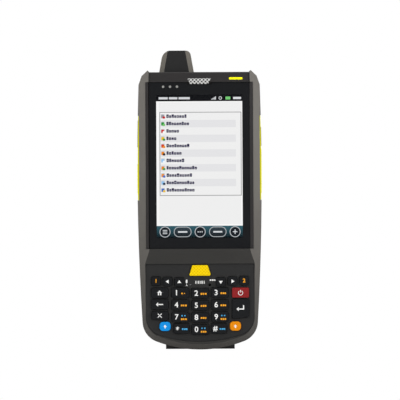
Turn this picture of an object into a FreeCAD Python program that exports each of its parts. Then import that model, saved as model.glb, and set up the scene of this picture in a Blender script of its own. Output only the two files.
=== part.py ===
import FreeCAD, Part
import math
import os
import re
import Sketcher

# Portable barcode data terminal, upright on its flat foot.
# Millimetres. +Z is up, X runs left to right across the keypad, the display faces -Y.
# The parting plane between the front and rear housings is y = 0.

# Driving sizes: name, value, what it is.
SIZES = (
    ("wall", 2.0, "housing wall"),
    ("fit_gap", 0.1, "gap round a fixed piece in its seat"),
    ("key_gap", 0.15, "gap round a moving key or button"),
    ("key_width", 10.0, "digit key width"),
    ("key_height", 5.8, "digit key height"),
    ("column_gap", 1.45, "space between digit keys"),
    ("row_gap", 1.17, "space between rows of digit keys"),
    ("row_five_height", 11.8, "centre of the lowest row above the foot"),
    ("outer_width", 9.8, "width of the outer keys"),
    ("outer_gap", 2.0, "space between digit keys and outer keys"),
    ("outer_rise", 0.7, "how far the outer keys stand above their row"),
    ("side_rise", 0.3, "how far the side digit keys stand above the middle one"),
    ("arrow_width", 5.3, "width of the small keys in the top row"),
    ("arrow_height", 5.1, "height of the small keys in the top row"),
    ("arrow_first", 12.0, "centre of the first small key from the middle"),
    ("arrow_gap", 1.4, "space between small keys"),
    ("arrow_row_gap", 1.15, "space between the small keys and the digits"),
    ("scan_height", 6.1, "scan key height"),
    ("scan_top_half", 4.4, "half width of the scan key at its top"),
    ("scan_bottom_half", 6.4, "half width of the scan key at its bottom"),
    ("scan_row_gap", 1.0, "space between the scan key and the small keys"),
    ("shift_width", 6.4, "width of the two round shift keys"),
    ("shift_height", 5.3, "height of the two round shift keys"),
    ("shift_gap", 1.75, "space between a shift key and the star or hash key"),
    ("shift_rise", 1.9, "how far the shift keys stand above the lowest row"),
    ("star_width", 8.9, "width of the star and hash keys"),
    ("escape_height", 4.9, "escape key height"),
    ("escape_slant", 1.0, "slope of the lower edge of the escape key"),
    ("enter_rise", 0.85, "lower edge of the enter key above that of the escape key"),
    ("enter_slant", 1.2, "slope of the lower edge of the enter key"),
    ("key_corner", 0.9, "corner radius of a key"),
    ("key_edge", 0.35, "rounding of a key's top edge"),
    ("key_proud", 1.3, "how far a key stands out of the panel"),
    ("key_travel", 0.8, "stroke of a key"),
    ("flange_reach", 0.4, "how far a key's flange reaches under the panel"),
    ("flange_thickness", 0.8, "flange thickness"),
    ("flange_gap", 0.05, "gap between a flange and the panel"),
    ("flange_inset", 0.6, "flange inside the key's upper and lower edges"),
    ("plunger_radius", 1.5, "radius of the plunger behind a key"),
    ("dome_radius", 1.9, "radius of a contact dome on the keypad board"),
    ("dome_height", 0.15, "height of a contact dome"),
    ("dome_gap", 0.05, "gap left between plunger and dome at full stroke"),
    ("panel_margin", 3.1, "panel edge beyond the outer keys"),
    ("scan_margin", 0.7, "panel above the scan key"),
    ("panel_base", 4.8, "lowest point of the keypad panel above the foot"),
    ("panel_radius", 80.0, "radius of the panel's lower edge"),
    ("panel_corner", 11.0, "radius of the panel's lower corners"),
    ("panel_thickness", 1.4, "keypad panel thickness"),
    ("panel_sunk", 0.6, "how far the panel lies below its surround"),
    ("panel_ledge", 1.5, "width of the ledge that carries the panel"),
    ("rim_height", 0.2, "housing between the panel and the band"),
    ("band_height", 8.6, "height of the sloping band"),
    ("cavity_depth", 8.0, "front cavity in front of the parting plane"),
    ("shelf_thickness", 2.2, "ledge thickness behind the keypad panel"),
    ("display_shelf", 2.0, "ledge thickness behind the display bezel"),
    ("mat_thickness", 1.0, "keypad mat thickness"),
    ("keyboard_thickness", 1.0, "keypad board thickness"),
    ("lens_half", 29.0, "half width of the display lens"),
    ("lens_height", 96.1, "height of the display lens"),
    ("lens_thickness", 1.2, "display lens thickness"),
    ("lens_sunk", 0.7, "how far the lens lies below its bezel"),
    ("strip_width", 1.9, "bezel strip beside the lens"),
    ("strip_slope", 1.3, "width of the slope on the bezel strip"),
    ("bezel_thickness", 3.5, "display bezel thickness"),
    ("bezel_ledge", 1.4, "ledge of the bezel under the lens"),
    ("top_strip", 5.8, "height of the dark strip over the lens"),
    ("lcd_half", 26.8, "half width of the display module"),
    ("lcd_inset", 3.3, "display module end inside the lens"),
    ("rail_rise", 0.4, "housing rail in front of the bezel"),
    ("rail_width", 4.1, "housing rail beside the bezel"),
    ("hump_rise", 0.6, "hump over the keypad in front of the rails"),
    ("hump_length", 16.0, "length over which the hump runs out"),
    ("hump_radius", 22.0, "rounding of the hump's crest"),
    ("band_radius", 9.0, "rounding at the foot of the band"),
    ("side_margin", 1.6, "housing beside the panel at the lower corner"),
    ("side_bow", 1.8, "bow of the long sides"),
    ("bottom_radius", 70.0, "radius of the bottom edge"),
    ("corner_radius", 12.5, "radius of the bottom corners"),
    ("shoulder_drop", 7.0, "start of the top corner below the top face"),
    ("shoulder_side", 1.8, "top corner: middle point inside the side"),
    ("ear_width", 6.4, "width of a top corner"),
    ("ear_rise", 1.0, "top corner above the top face"),
    ("bevel_reach", 4.6, "front bevel measured across the front"),
    ("bevel_run", 6.6, "front bevel measured along the side"),
    ("back_corner", 8.5, "top corner radius of the rear housing"),
    ("back_radius", 6.5, "rounding of the rear housing"),
    ("foot_half", 20.0, "half width of the flat foot"),
    ("foot_height", 3.4, "height of the foot block"),
    ("foot_front", 6.3, "foot in front of the parting plane"),
    ("foot_rear", 9.0, "foot behind the parting plane"),
    ("frame_thickness", 1.4, "inner frame thickness"),
    ("frame_half", 30.4, "half width of the inner frame"),
    ("frame_bar", 6.0, "width of the inner frame's cross bars"),
    ("frame_rail", 8.0, "width of the inner frame's side rails"),
    ("standoff", 1.2, "gap between inner frame and main board"),
    ("standoff_radius", 1.5, "radius of the inner frame's standoffs"),
    ("board_thickness", 1.0, "main board thickness"),
    ("board_half", 27.0, "half width of the main board"),
    ("board_base", 12.0, "lower edge of the main board above the foot"),
    ("can_height", 2.6, "height of the shield cans"),
    ("bay_front", 3.2, "front of the battery bay floor behind the parting plane"),
    ("bay_floor", 1.2, "battery bay floor thickness"),
    ("battery_gap", 0.3, "gap round the battery"),
    ("battery_half", 23.0, "half width of the battery"),
    ("battery_height", 66.0, "battery height"),
    ("battery_thickness", 7.0, "battery thickness"),
    ("door_gap", 0.5, "gap between battery and door"),
    ("door_thickness", 2.3, "battery door thickness"),
    ("door_proud", 0.5, "door behind the rear housing"),
    ("door_margin", 3.5, "door beyond the battery at the sides"),
    ("door_head", 5.0, "door above the battery"),
    ("hinge_height", 16.0, "battery door hinge above the foot"),
    ("hinge_inset", 1.9, "hinge axis inside the door's outer face"),
    ("barrel_radius", 1.6, "hinge barrel radius"),
    ("pin_radius", 0.8, "hinge pin radius"),
    ("run_gap", 0.05, "running gap round a pin"),
    ("pin_grip", 2.0, "length of hinge pin held in the housing at each end"),
    ("battery_base", 6.5, "battery above the hinge"),
    ("latch_half", 6.0, "half width of the door latch"),
    ("latch_height", 7.0, "height of the latch's thumb piece"),
    ("latch_travel", 2.0, "stroke of the latch"),
    ("latch_drop", 5.0, "thumb piece below the door's top edge"),
    ("groove_pitch", 1.4, "distance between the grip grooves of the latch"),
    ("groove_width", 0.6, "width of a grip groove"),
    ("groove_depth", 0.35, "depth of a grip groove"),
    ("door_corner", 2.5, "radius of the door's upper corners"),
    ("tongue_half", 3.0, "half width of the latch tongue"),
    ("tongue_thickness", 0.6, "thickness of the latch tongue"),
    ("tongue_depth", 1.0, "tongue's outer face inside the door's outer face"),
    ("trim_base", 86.6, "lower end of the side trims above the foot"),
    ("trim_height", 49.2, "length of the side trims"),
    ("trim_half", 4.0, "half width of the side trims"),
    ("trim_step", 0.1, "housing beside the trims, inside the straight line of the side"),
    ("trim_depth", 2.7, "side trim thickness"),
    ("button_half", 2.5, "half width of the side buttons"),
    ("button_flange", 0.9, "side button flange beyond its cap"),
    ("button_proud", 0.35, "side buttons outside the trim"),
    ("button_travel", 0.8, "stroke of the side buttons"),
    ("button_edge", 0.6, "rounding of the side buttons' outer edges"),
    ("button_seat", 0.05, "gap between a side button's flange and the trim"),
    ("switch_depth", 3.4, "depth of a side switch on the main board"),
    ("switch_place", 3.0, "start of a side switch above the lower end of its button"),
    ("switch_length", 5.0, "length of a side switch"),
    ("left_trigger_base", 90.2, "lower end of the left trigger above the foot"),
    ("left_trigger_height", 17.4, "length of the left trigger"),
    ("right_trigger_base", 90.5, "lower end of the right trigger above the foot"),
    ("right_trigger_height", 26.0, "length of the right trigger"),
    ("function_base", 118.2, "lower end of the right function key above the foot"),
    ("function_height", 11.0, "length of the right function key"),
    ("rocker_base", 117.6, "lower end of the volume rocker above the foot"),
    ("rocker_height", 15.7, "length of the volume rocker"),
    ("rocker_pivot", 0.7, "radius of the rocker's pivot"),
    ("cover_base", 47.6, "lower end of the port cover above the foot"),
    ("cover_height", 31.6, "length of the port cover up to its hinge"),
    ("cover_half", 4.8, "half width of the port cover"),
    ("cover_proud", 0.2, "port cover outside the housing"),
    ("cover_groove", 1.6, "radius of the grip grooves in the port cover"),
    ("cover_barrel", 1.1, "radius of the port cover's hinge roll"),
    ("cover_pin", 0.5, "radius of the port cover's hinge pin"),
    ("port_base", 60.0, "lower end of the side connector block above the foot"),
    ("port_height", 15.0, "length of the side connector block"),
    ("port_depth", 9.0, "depth of the side connector block"),
    ("socket_radius", 1.8, "radius of the round socket"),
    ("port_gap", 0.3, "side connector block in front of the battery bay's floor"),
    ("antenna_place", 13.1, "antenna centre left of the middle"),
    ("antenna_width", 20.4, "antenna cap width"),
    ("antenna_height", 12.9, "antenna cap height"),
    ("antenna_front", 8.5, "antenna cap in front of the parting plane"),
    ("antenna_rear", 7.0, "antenna cap behind the parting plane"),
    ("antenna_taper", 2.3, "how far each side of the cap leans in at its top"),
    ("antenna_round", 5.2, "radius of the cap's outer top corner"),
    ("antenna_small_round", 2.6, "radius of the cap's inner top corner"),
    ("antenna_bevel", 2.8, "bevel on the cap's front corners"),
    ("element_radius", 1.5, "antenna rod radius"),
    ("element_length", 9.0, "antenna rod above the top face"),
    ("element_back", 4.0, "antenna rod behind the parting plane"),
    ("element_flange", 1.2, "base disc of the antenna rod beyond the rod, and its thickness"),
    ("window_place", 13.0, "scan window centre right of the middle"),
    ("window_half", 8.5, "half width of the scan window"),
    ("window_front", 1.8, "scan window's front edge behind the parting plane"),
    ("window_depth", 6.0, "scan window across"),
    ("window_lip", 0.9, "flange under the scan window"),
    ("engine_height", 15.0, "scan engine height"),
    ("engine_half", 10.0, "half width of the scan engine"),
    ("engine_depth", 8.4, "scan engine depth"),
    ("camera_place", 15.0, "camera centre beside the middle"),
    ("camera_drop", 26.0, "camera centre below the top face"),
    ("camera_half", 6.5, "half width of the camera module"),
    ("camera_radius", 4.2, "camera lens ring radius"),
    ("camera_ring", 1.2, "width of the ring around the camera glass"),
    ("flash_radius", 1.6, "flash window radius"),
    ("flash_place", 9.5, "flash beside the camera"),
    ("speaker_place", 14.0, "speaker centre beside the middle"),
    ("speaker_drop", 42.0, "speaker centre below the top face"),
    ("speaker_radius", 8.0, "speaker radius"),
    ("speaker_thickness", 4.5, "speaker thickness"),
    ("slot_pitch", 2.6, "pitch of the speaker slots"),
    ("slot_width", 1.2, "speaker slot width"),
    ("slot_half", 5.0, "half length of the speaker slots"),
    ("screw_side", 29.2, "lower screws beside the middle"),
    ("screw_base", 54.0, "lower screws above the foot"),
    ("screw_top_side", 26.0, "upper screws beside the middle"),
    ("screw_top_drop", 5.2, "upper screws below the top face"),
    ("screw_radius", 1.1, "screw shank radius"),
    ("screw_head", 2.1, "screw head radius"),
    ("screw_head_depth", 1.6, "screw head height"),
    ("screw_sunk", 1.8, "screw head below the back face"),
    ("screw_bite", 6.0, "screw thread in the front boss"),
    ("boss_radius", 2.7, "screw boss radius"),
    ("dock_half", 9.0, "half width of the dock connector"),
    ("dock_front", 1.6, "dock connector behind the parting plane"),
    ("dock_depth", 4.4, "dock connector across"),
    ("dock_height", 6.0, "dock connector height"),
    ("dock_sunk", 0.4, "dock connector above the foot's face"),
    ("grille_top_half", 6.8, "half width of the earpiece grille at its top"),
    ("grille_bottom_half", 5.2, "half width of the earpiece grille at its bottom"),
    ("grille_height", 3.2, "earpiece grille height"),
    ("grille_drop", 1.1, "earpiece grille's lower edge below the lens top"),
    ("grille_thickness", 0.5, "earpiece grille thickness"),
    ("grille_sunk", 0.15, "earpiece grille below the bezel"),
    ("light_radius", 0.7, "status light radius"),
    ("light_drop", 2.6, "status lights below the lens top"),
    ("light_first", 12.8, "first status light beside the middle"),
    ("light_pitch", 4.0, "status light pitch"),
    ("mic_place", 5.6, "microphone beside the middle"),
    ("mic_drop", 1.8, "microphone below the small keys' centre line"),
    ("mic_radius", 1.4, "microphone radius"),
    ("mic_hole", 0.45, "microphone hole radius"),
    ("reset_hole", 0.8, "reset hole radius"),
)

# Places worked out from the sizes. y is negative in front of the parting plane.
PLACES = {
    "key_pitch": "key_height + row_gap",
    "row_five": "row_five_height",
    "row_four": "row_five + key_pitch",
    "row_three": "row_four + key_pitch",
    "row_two": "row_three + key_pitch",
    "row_one": "row_two + key_height / 2 + arrow_row_gap + arrow_height / 2",
    "scan_row": "row_one + arrow_height / 2 + scan_row_gap + scan_height / 2",
    "inner_column": "key_width + column_gap",
    "outer_column": "inner_column + key_width / 2 + outer_gap + outer_width / 2",
    "star_column": "key_width / 2 + column_gap + star_width / 2",
    "shift_column": "star_column + star_width / 2 + shift_gap + shift_width / 2",
    "arrow_pitch": "arrow_width + arrow_gap",
    "panel_half": "outer_column + outer_width / 2 + panel_margin",
    "panel_top": "scan_row + scan_height / 2 + scan_margin",
    "band_bottom": "panel_top + rim_height",
    "band_top": "band_bottom + band_height",
    "lens_bottom": "band_top + fit_gap",
    "lens_top": "lens_bottom + lens_height",
    "body_top": "lens_top + top_strip",
    "bezel_half": "lens_half + strip_width",
    "half_top": "bezel_half + fit_gap + rail_width",
    "half_bottom": "panel_half + side_margin",
    "corner_height": "bottom_radius - sqrt(bottom_radius ^ 2 - half_bottom ^ 2)",
    "shoulder": "body_top - shoulder_drop",
    "side_rise_length": "shoulder - corner_height",
    "side_radius": "((side_rise_length ^ 2 + (half_top - half_bottom) ^ 2) / 4 + side_bow ^ 2) / (2 * side_bow)",
    "ear_inner": "half_top - ear_width",
    "shelf_front": "0 - cavity_depth - shelf_thickness",
    "panel_front": "shelf_front - panel_thickness",
    "surround_front": "panel_front - panel_sunk",
    "key_front": "panel_front - key_proud",
    "flange_front": "shelf_front + flange_gap",
    "flange_back": "flange_front + flange_thickness",
    "mat_front": "0 - cavity_depth",
    "keyboard_front": "mat_front + mat_thickness",
    "keyboard_back": "keyboard_front + keyboard_thickness",
    "plunger_end": "keyboard_front - dome_height - dome_gap - key_travel",
    "bezel_back": "0 - cavity_depth - display_shelf",
    "bezel_front": "bezel_back - bezel_thickness",
    "lens_front": "bezel_front + lens_sunk",
    "lens_back": "lens_front + lens_thickness",
    "rail_front": "bezel_front - rail_rise",
    "hump_front": "rail_front - hump_rise",
    "frame_back": "0 - cavity_depth + frame_thickness",
    "board_front": "frame_back + standoff",
    "board_back": "board_front + board_thickness",
    "frame_base": "lens_bottom + 1.5",
    "frame_top": "lens_top - lcd_inset",
    "bay_back": "bay_front + bay_floor",
    "battery_front": "bay_back + battery_gap",
    "battery_back": "battery_front + battery_thickness",
    "door_front": "battery_back + door_gap",
    "door_back": "door_front + door_thickness",
    "rear_back": "door_back - door_proud",
    "hinge_back": "door_back - hinge_inset",
    "battery_bottom": "hinge_height + battery_base",
    "battery_top": "battery_bottom + battery_height",
    "door_top": "battery_top + door_head",
    "door_half": "battery_half + door_margin",
    "tongue_back": "door_back - tongue_depth",
    "tongue_front": "tongue_back - tongue_thickness",
    "upper_base": "door_top + latch_travel + 2 * wall",
    "trim_top": "trim_base + trim_height",
    "trim_inner": "half_top - trim_depth + 0.8",
    "left_trigger_top": "left_trigger_base + left_trigger_height",
    "right_trigger_top": "right_trigger_base + right_trigger_height",
    "function_top": "function_base + function_height",
    "rocker_top": "rocker_base + rocker_height",
    "rocker_middle": "rocker_base + rocker_height / 2",
    "cover_top": "cover_base + cover_height",
    "grille_bottom": "lens_top - grille_drop",
    "grille_top": "grille_bottom + grille_height",
    "grille_back": "bezel_front + grille_sunk + grille_thickness",
    "light_row": "lens_top - light_drop",
    "mic_row": "row_one - mic_drop",
    "camera_row": "body_top - camera_drop",
    "speaker_row": "body_top - speaker_drop",
    "screw_top": "body_top - screw_top_drop",
    "screw_seat": "rear_back - screw_sunk - screw_head_depth",
}

FAR = "100"
NEAR = 0.01

doc = FreeCAD.newDocument("DataTerminal")
sheet = doc.addObject("Spreadsheet::Sheet", "dims")
for row, (alias, size, note) in enumerate(SIZES, 1):
    sheet.set(f"A{row}", note)
    sheet.set(f"B{row}", str(size))
    sheet.setAlias(f"B{row}", alias)
doc.recompute()

ALIASES = {alias for alias, size, note in SIZES}
nodes = []


def tied(text):
    """Write a formula of sizes and places out in terms of the sheet's cells."""
    def spell(match):
        word = match.group()
        if word in PLACES:
            return "(" + tied(PLACES[word]) + ")"
        return "dims." + word if word in ALIASES else word
    return re.sub(r"[a-z_]+", spell, str(text))


def number(text):
    """The value of a formula."""
    return float(sheet.evalExpression(tied(text)))


def bind(item, name, text):
    """Tie a property to a formula."""
    item.setExpression(name, tied(text))


def minus(text):
    return f"0 - ({text})"


def body(name):
    """A new sub-part."""
    item = doc.addObject("PartDesign::Body", name)
    item.Label = name
    nodes.append(item)
    return item


def block(owner, x_span, y_span, z_span, cut=False):
    """Add or cut a box that reaches from the first to the second place along each axis."""
    kind = "SubtractiveBox" if cut else "AdditiveBox"
    item = owner.newObject("PartDesign::" + kind, "block")
    item.Refine = False
    for name, span in zip(("Length", "Width", "Height"), (x_span, y_span, z_span)):
        bind(item, name, f"({span[1]}) - ({span[0]})")
    for axis, span in zip("xyz", (x_span, y_span, z_span)):
        bind(item, "Placement.Base." + axis, span[0])
    return item


TURNS = {
    "x": FreeCAD.Rotation(FreeCAD.Vector(0, 1, 0), 90),
    "y": FreeCAD.Rotation(FreeCAD.Vector(1, 0, 0), -90),
    "z": FreeCAD.Rotation(),
}


def rod(owner, axis, start, radius, length, cut=False):
    """Add or cut a cylinder from a start point along +X, +Y or +Z."""
    kind = "SubtractiveCylinder" if cut else "AdditiveCylinder"
    item = owner.newObject("PartDesign::" + kind, "rod")
    item.Refine = False
    item.Placement = FreeCAD.Placement(FreeCAD.Vector(), TURNS[axis])
    bind(item, "Radius", radius)
    bind(item, "Height", length)
    for name, text in zip("xyz", start):
        bind(item, "Placement.Base." + name, text)
    return item


def sketch(owner, role, offset):
    """A sketch on one of the sub-part's own origin planes, moved along the plane's normal."""
    item = owner.newObject("Sketcher::SketchObject", "sketch")
    plane = next(part for part in owner.Origin.OriginFeatures if part.Role == role)
    item.AttachmentSupport = (plane, [""])
    item.MapMode = "FlatFace"
    bind(item, "AttachmentOffset.Base.z", offset)
    return item


def front_sketch(owner, place):
    """A sketch square to Y at the given y. A pad runs forward from it, a pocket backward."""
    return sketch(owner, "XZ_Plane", minus(place))


def arc_through(start, end, radius):
    """An arc of the given radius that bulges to the right of the way from start to end."""
    chord = end - start
    half = chord.Length / 2
    rise = radius - math.sqrt(radius * radius - half * half)
    side = FreeCAD.Vector(chord.y, -chord.x, 0).normalize()
    edge = Part.Arc(start, (start + end) * 0.5 + side * rise, end).toShape()
    return Part.ArcOfCircle(edge.Curve, *edge.ParameterRange)


def draw(item, corners):
    """Draw a closed outline, anticlockwise, with every corner tied to its formulas.

    A corner with a third entry is followed by an arc of that radius, which bulges outward.
    """
    first = item.GeometryCount
    spots = [FreeCAD.Vector(number(corner[0]), number(corner[1]), 0) for corner in corners]
    for index, corner in enumerate(corners):
        start = spots[index]
        end = spots[(index + 1) % len(spots)]
        if len(corner) == 2:
            item.addGeometry(Part.LineSegment(start, end))
        else:
            item.addGeometry(arc_through(start, end, number(corner[2])))
    for index, corner in enumerate(corners):
        place = first + index
        following = first + (index + 1) % len(corners)
        item.addConstraint(Sketcher.Constraint("Coincident", place, 2, following, 1))
        for kind, text, spot in (("DistanceX", corner[0], spots[index].x),
                                 ("DistanceY", corner[1], spots[index].y)):
            rule = item.addConstraint(Sketcher.Constraint(kind, -1, 1, place, 1, spot))
            bind(item, f"Constraints[{rule}]", text)
        if len(corner) == 3:
            rule = item.addConstraint(Sketcher.Constraint("Radius", place, number(corner[2])))
            bind(item, f"Constraints[{rule}]", corner[2])


def feature(owner, kind, profile, length, reverse=False, both_ways=False):
    """Pad or pocket a sketch."""
    item = owner.newObject("PartDesign::" + kind, kind.lower())
    item.Refine = False
    item.Profile = profile
    item.Reversed = reverse
    if both_ways:
        item.SideType = "Symmetric"
    bind(item, "Length", length)
    return item


def inside(x_span=None, y_span=None, z_span=None, axis=None):
    """A test for edges that lie within the given spans, and run along one axis if that is named."""
    spans = []
    for low, high, span in (("XMin", "XMax", x_span), ("YMin", "YMax", y_span),
                            ("ZMin", "ZMax", z_span)):
        if span:
            spans.append((low, high, number(span[0]) - NEAR, number(span[1]) + NEAR))

    def test(edge):
        box = edge.BoundBox
        sizes = {"x": box.XLength, "y": box.YLength, "z": box.ZLength}
        if axis and any(size > NEAR for name, size in sizes.items() if name != axis):
            return False
        return all(getattr(box, low) >= least and getattr(box, high) <= most for low, high, least,
                   most in spans)
    return test


def dress(owner, kind, test, **sizes):
    """Fillet or chamfer the edges that pass the test."""
    doc.recompute()
    base = owner.Tip
    picked = [f"Edge{place}" for place, edge in enumerate(base.Shape.Edges, 1) if test(edge)]
    if not picked:
        raise RuntimeError(f"no edge found to {kind.lower()} on {owner.Label}")
    item = owner.newObject("PartDesign::" + kind, kind.lower())
    item.Refine = False
    if kind == "Chamfer" and "Size2" in sizes:
        item.ChamferType = "Two distances"
    item.Base = (base, picked)
    for name, text in sizes.items():
        bind(item, name, text)
    return item


def side(height):
    """Half width of the housing at a height above the foot."""
    share = f"((({height}) - corner_height) / side_rise_length)"
    return f"(half_bottom + (half_top - half_bottom) * {share} + 4 * side_bow * {share} * (1 - {share}))"


def housing_outline(ears):
    """The front view of the whole housing, with or without its raised top corners."""
    low = ("half_bottom", "corner_height", "side_radius")
    low_left = (minus("half_bottom"), "corner_height", "bottom_radius")
    if not ears:
        return [low_left, low, ("half_top", "shoulder"), ("half_top", "body_top"),
                (minus("half_top"), "body_top"), (minus("half_top"), "shoulder", "side_radius")]
    right = [("half_top", "shoulder"), ("half_top - shoulder_side", "body_top - 0.3 * shoulder_drop"),
             ("ear_inner + ear_rise", "body_top + ear_rise"), ("ear_inner", "body_top")]
    left = [(minus(across), up) for across, up in reversed(right)]
    left[-1] = left[-1] + ("side_radius",)
    return [low_left, low] + right + left


def inner_outline():
    """The housing's front view one wall further in."""
    half = "(half_bottom - wall)"
    radius = "(bottom_radius - wall)"
    low = f"wall + {radius} - sqrt({radius} ^ 2 - {half} ^ 2)"
    top_half = "(half_top - wall)"
    return [(minus(half), low, radius), (half, low, "side_radius"), (top_half, "shoulder"),
            ("ear_inner", "body_top - wall"), (minus("ear_inner"), "body_top - wall"),
            (minus(top_half), "shoulder", "side_radius")]


def panel_outline(inset):
    """The keypad panel's front view, moved in by an inset."""
    half = f"(panel_half - ({inset}))"
    radius = f"(panel_radius - ({inset}))"
    low = f"panel_base + ({inset}) + {radius} - sqrt({radius} ^ 2 - {half} ^ 2)"
    top = f"panel_top - ({inset})"
    return [(minus(half), low, radius), (half, low), (half, top), (minus(half), top)]


def round_panel(owner, inset, y_span):
    """Round the two lower corners of a piece with the panel's outline."""
    low = "corner_height + panel_corner"
    half = f"panel_half - ({inset})"
    for span in ((half, half), (minus(half), minus(half))):
        test = inside(x_span=span, y_span=y_span, z_span=("0", low), axis="y")
        dress(owner, "Fillet", test, Radius=f"panel_corner - ({inset})")


def quad(left, right, low, high, low_right=None, top_half_cut="0"):
    """Four corners of a key, anticlockwise from the lower left."""
    return [(left, low), (right, low_right or low), (f"({right}) - ({top_half_cut})", high),
            (f"({left}) + ({top_half_cut})", high)]


def plain_key(column, row, width, height):
    """Corners of a rectangular key about its centre."""
    return quad(f"{column} - {width} / 2", f"{column} + {width} / 2",
                f"{row} - {height} / 2", f"{row} + {height} / 2")


def key_table():
    """Every keypad key: name, corners and rounding."""
    keys = {}
    scan_cut = "scan_bottom_half - scan_top_half"
    keys["key_scan"] = quad(minus("scan_bottom_half"), "scan_bottom_half", "scan_row - scan_height / 2",
                            "scan_row + scan_height / 2", top_half_cut=scan_cut)
    small = {"key_program_one": (-1, 2), "key_left": (-1, 1), "key_up": (-1, 0),
             "key_down": (1, 0), "key_right": (1, 1), "key_program_two": (1, 2)}
    for name, (way, step) in small.items():
        column = f"({way} * (arrow_first + {step} * arrow_pitch))"
        row = f"(row_one + {step} * side_rise)"
        keys[name] = plain_key(column, row, "arrow_width", "arrow_height")
    digits = {"row_two": "123", "row_three": "456", "row_four": "789"}
    for row, names in digits.items():
        for way, digit in zip((-1, 0, 1), names):
            place = f"({row} + {abs(way)} * side_rise)"
            keys["key_digit_" + digit] = plain_key(f"({way} * inner_column)", place, "key_width",
                                                   "key_height")
    keys["key_digit_0"] = plain_key("0", "row_five", "key_width", "key_height")
    for name, way in (("key_star", -1), ("key_hash", 1)):
        column = f"({way} * star_column)"
        keys[name] = plain_key(column, "(row_five + 2 * side_rise)", "star_width", "key_height")
    for name, way in (("key_function", -1), ("key_alpha", 1)):
        column = f"({way} * shift_column)"
        keys[name] = plain_key(column, "(row_five + shift_rise)", "shift_width", "shift_height")
    left = "(0 - outer_column)"
    keys["key_home"] = plain_key(left, "(row_two + side_rise)", "outer_width", "key_height")
    keys["key_power"] = plain_key("outer_column", "(row_two + side_rise)", "outer_width", "key_height")
    keys["key_back"] = plain_key(left, "(row_three + outer_rise)", "outer_width", "key_height")
    escape_top = "row_four + outer_rise + key_height / 2"
    escape_low = f"{escape_top} - escape_height"
    keys["key_escape"] = quad("0 - outer_column - outer_width / 2", "0 - outer_column + outer_width / 2",
                              f"{escape_low} + escape_slant / 2", escape_top,
                              low_right=f"{escape_low} - escape_slant / 2")
    enter_low = f"{escape_low} + enter_rise"
    keys["key_enter"] = quad("outer_column - outer_width / 2", "outer_column + outer_width / 2",
                             f"{enter_low} - enter_slant / 2", "row_three + outer_rise + key_height / 2",
                             low_right=f"{enter_low} + enter_slant / 2")
    return keys


KEYS = key_table()
ROUND_KEYS = ("key_function", "key_alpha")
SHIFT_CORNER = "shift_height * 0.4"


def key_middle(corners):
    """The middle of a key's outline."""
    across = f"(({corners[0][0]}) + ({corners[1][0]})) / 2"
    low = f"(({corners[0][1]}) + ({corners[1][1]})) / 2"
    return across, f"({low} + {corners[2][1]}) / 2"


def corner_of(name):
    """Corner radius of a key: the shift keys are nearly round."""
    return SHIFT_CORNER if name in ROUND_KEYS else "key_corner"


def widen(corners, gap):
    """A key's corners moved out by a gap."""
    moved = []
    for index, (across, up) in enumerate(corners):
        across_way = "-" if index in (0, 3) else "+"
        up_way = "-" if index in (0, 1) else "+"
        moved.append((f"{across} {across_way} {gap}", f"{up} {up_way} {gap}"))
    return moved


def rounded(corners, radius):
    """The same four corners, each replaced by a short arc that meets a slanted lower edge smoothly."""
    points = []
    (left, low), (right, low_right) = corners[:2]
    slope = f"((({low_right}) - ({low})) / (({right}) - ({left})))"
    skew = f"sqrt(1 + {slope} ^ 2)"
    slanted = low != low_right
    for index, (across, up) in enumerate(corners):
        for other, steep in ((index - 1, index % 2 == 0), ((index + 1) % 4, index % 2 == 1)):
            far_across, far_up = corners[other]
            length = f"abs(({far_up}) - ({up}))" if steep else f"abs(({far_across}) - ({across}))"
            share = f"({radius}) / {length}"
            if slanted and index < 2:
                sign = "-" if index else "+"
                share = f"{share} * ({skew} {sign} {slope})"
                if not steep:
                    share = f"{share} / {skew}"
            points.append((f"({across}) + (({far_across}) - ({across})) * {share}",
                           f"({up}) + (({far_up}) - ({up})) * {share}"))
        points[-2] = points[-2] + (radius,)
    return points


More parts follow.
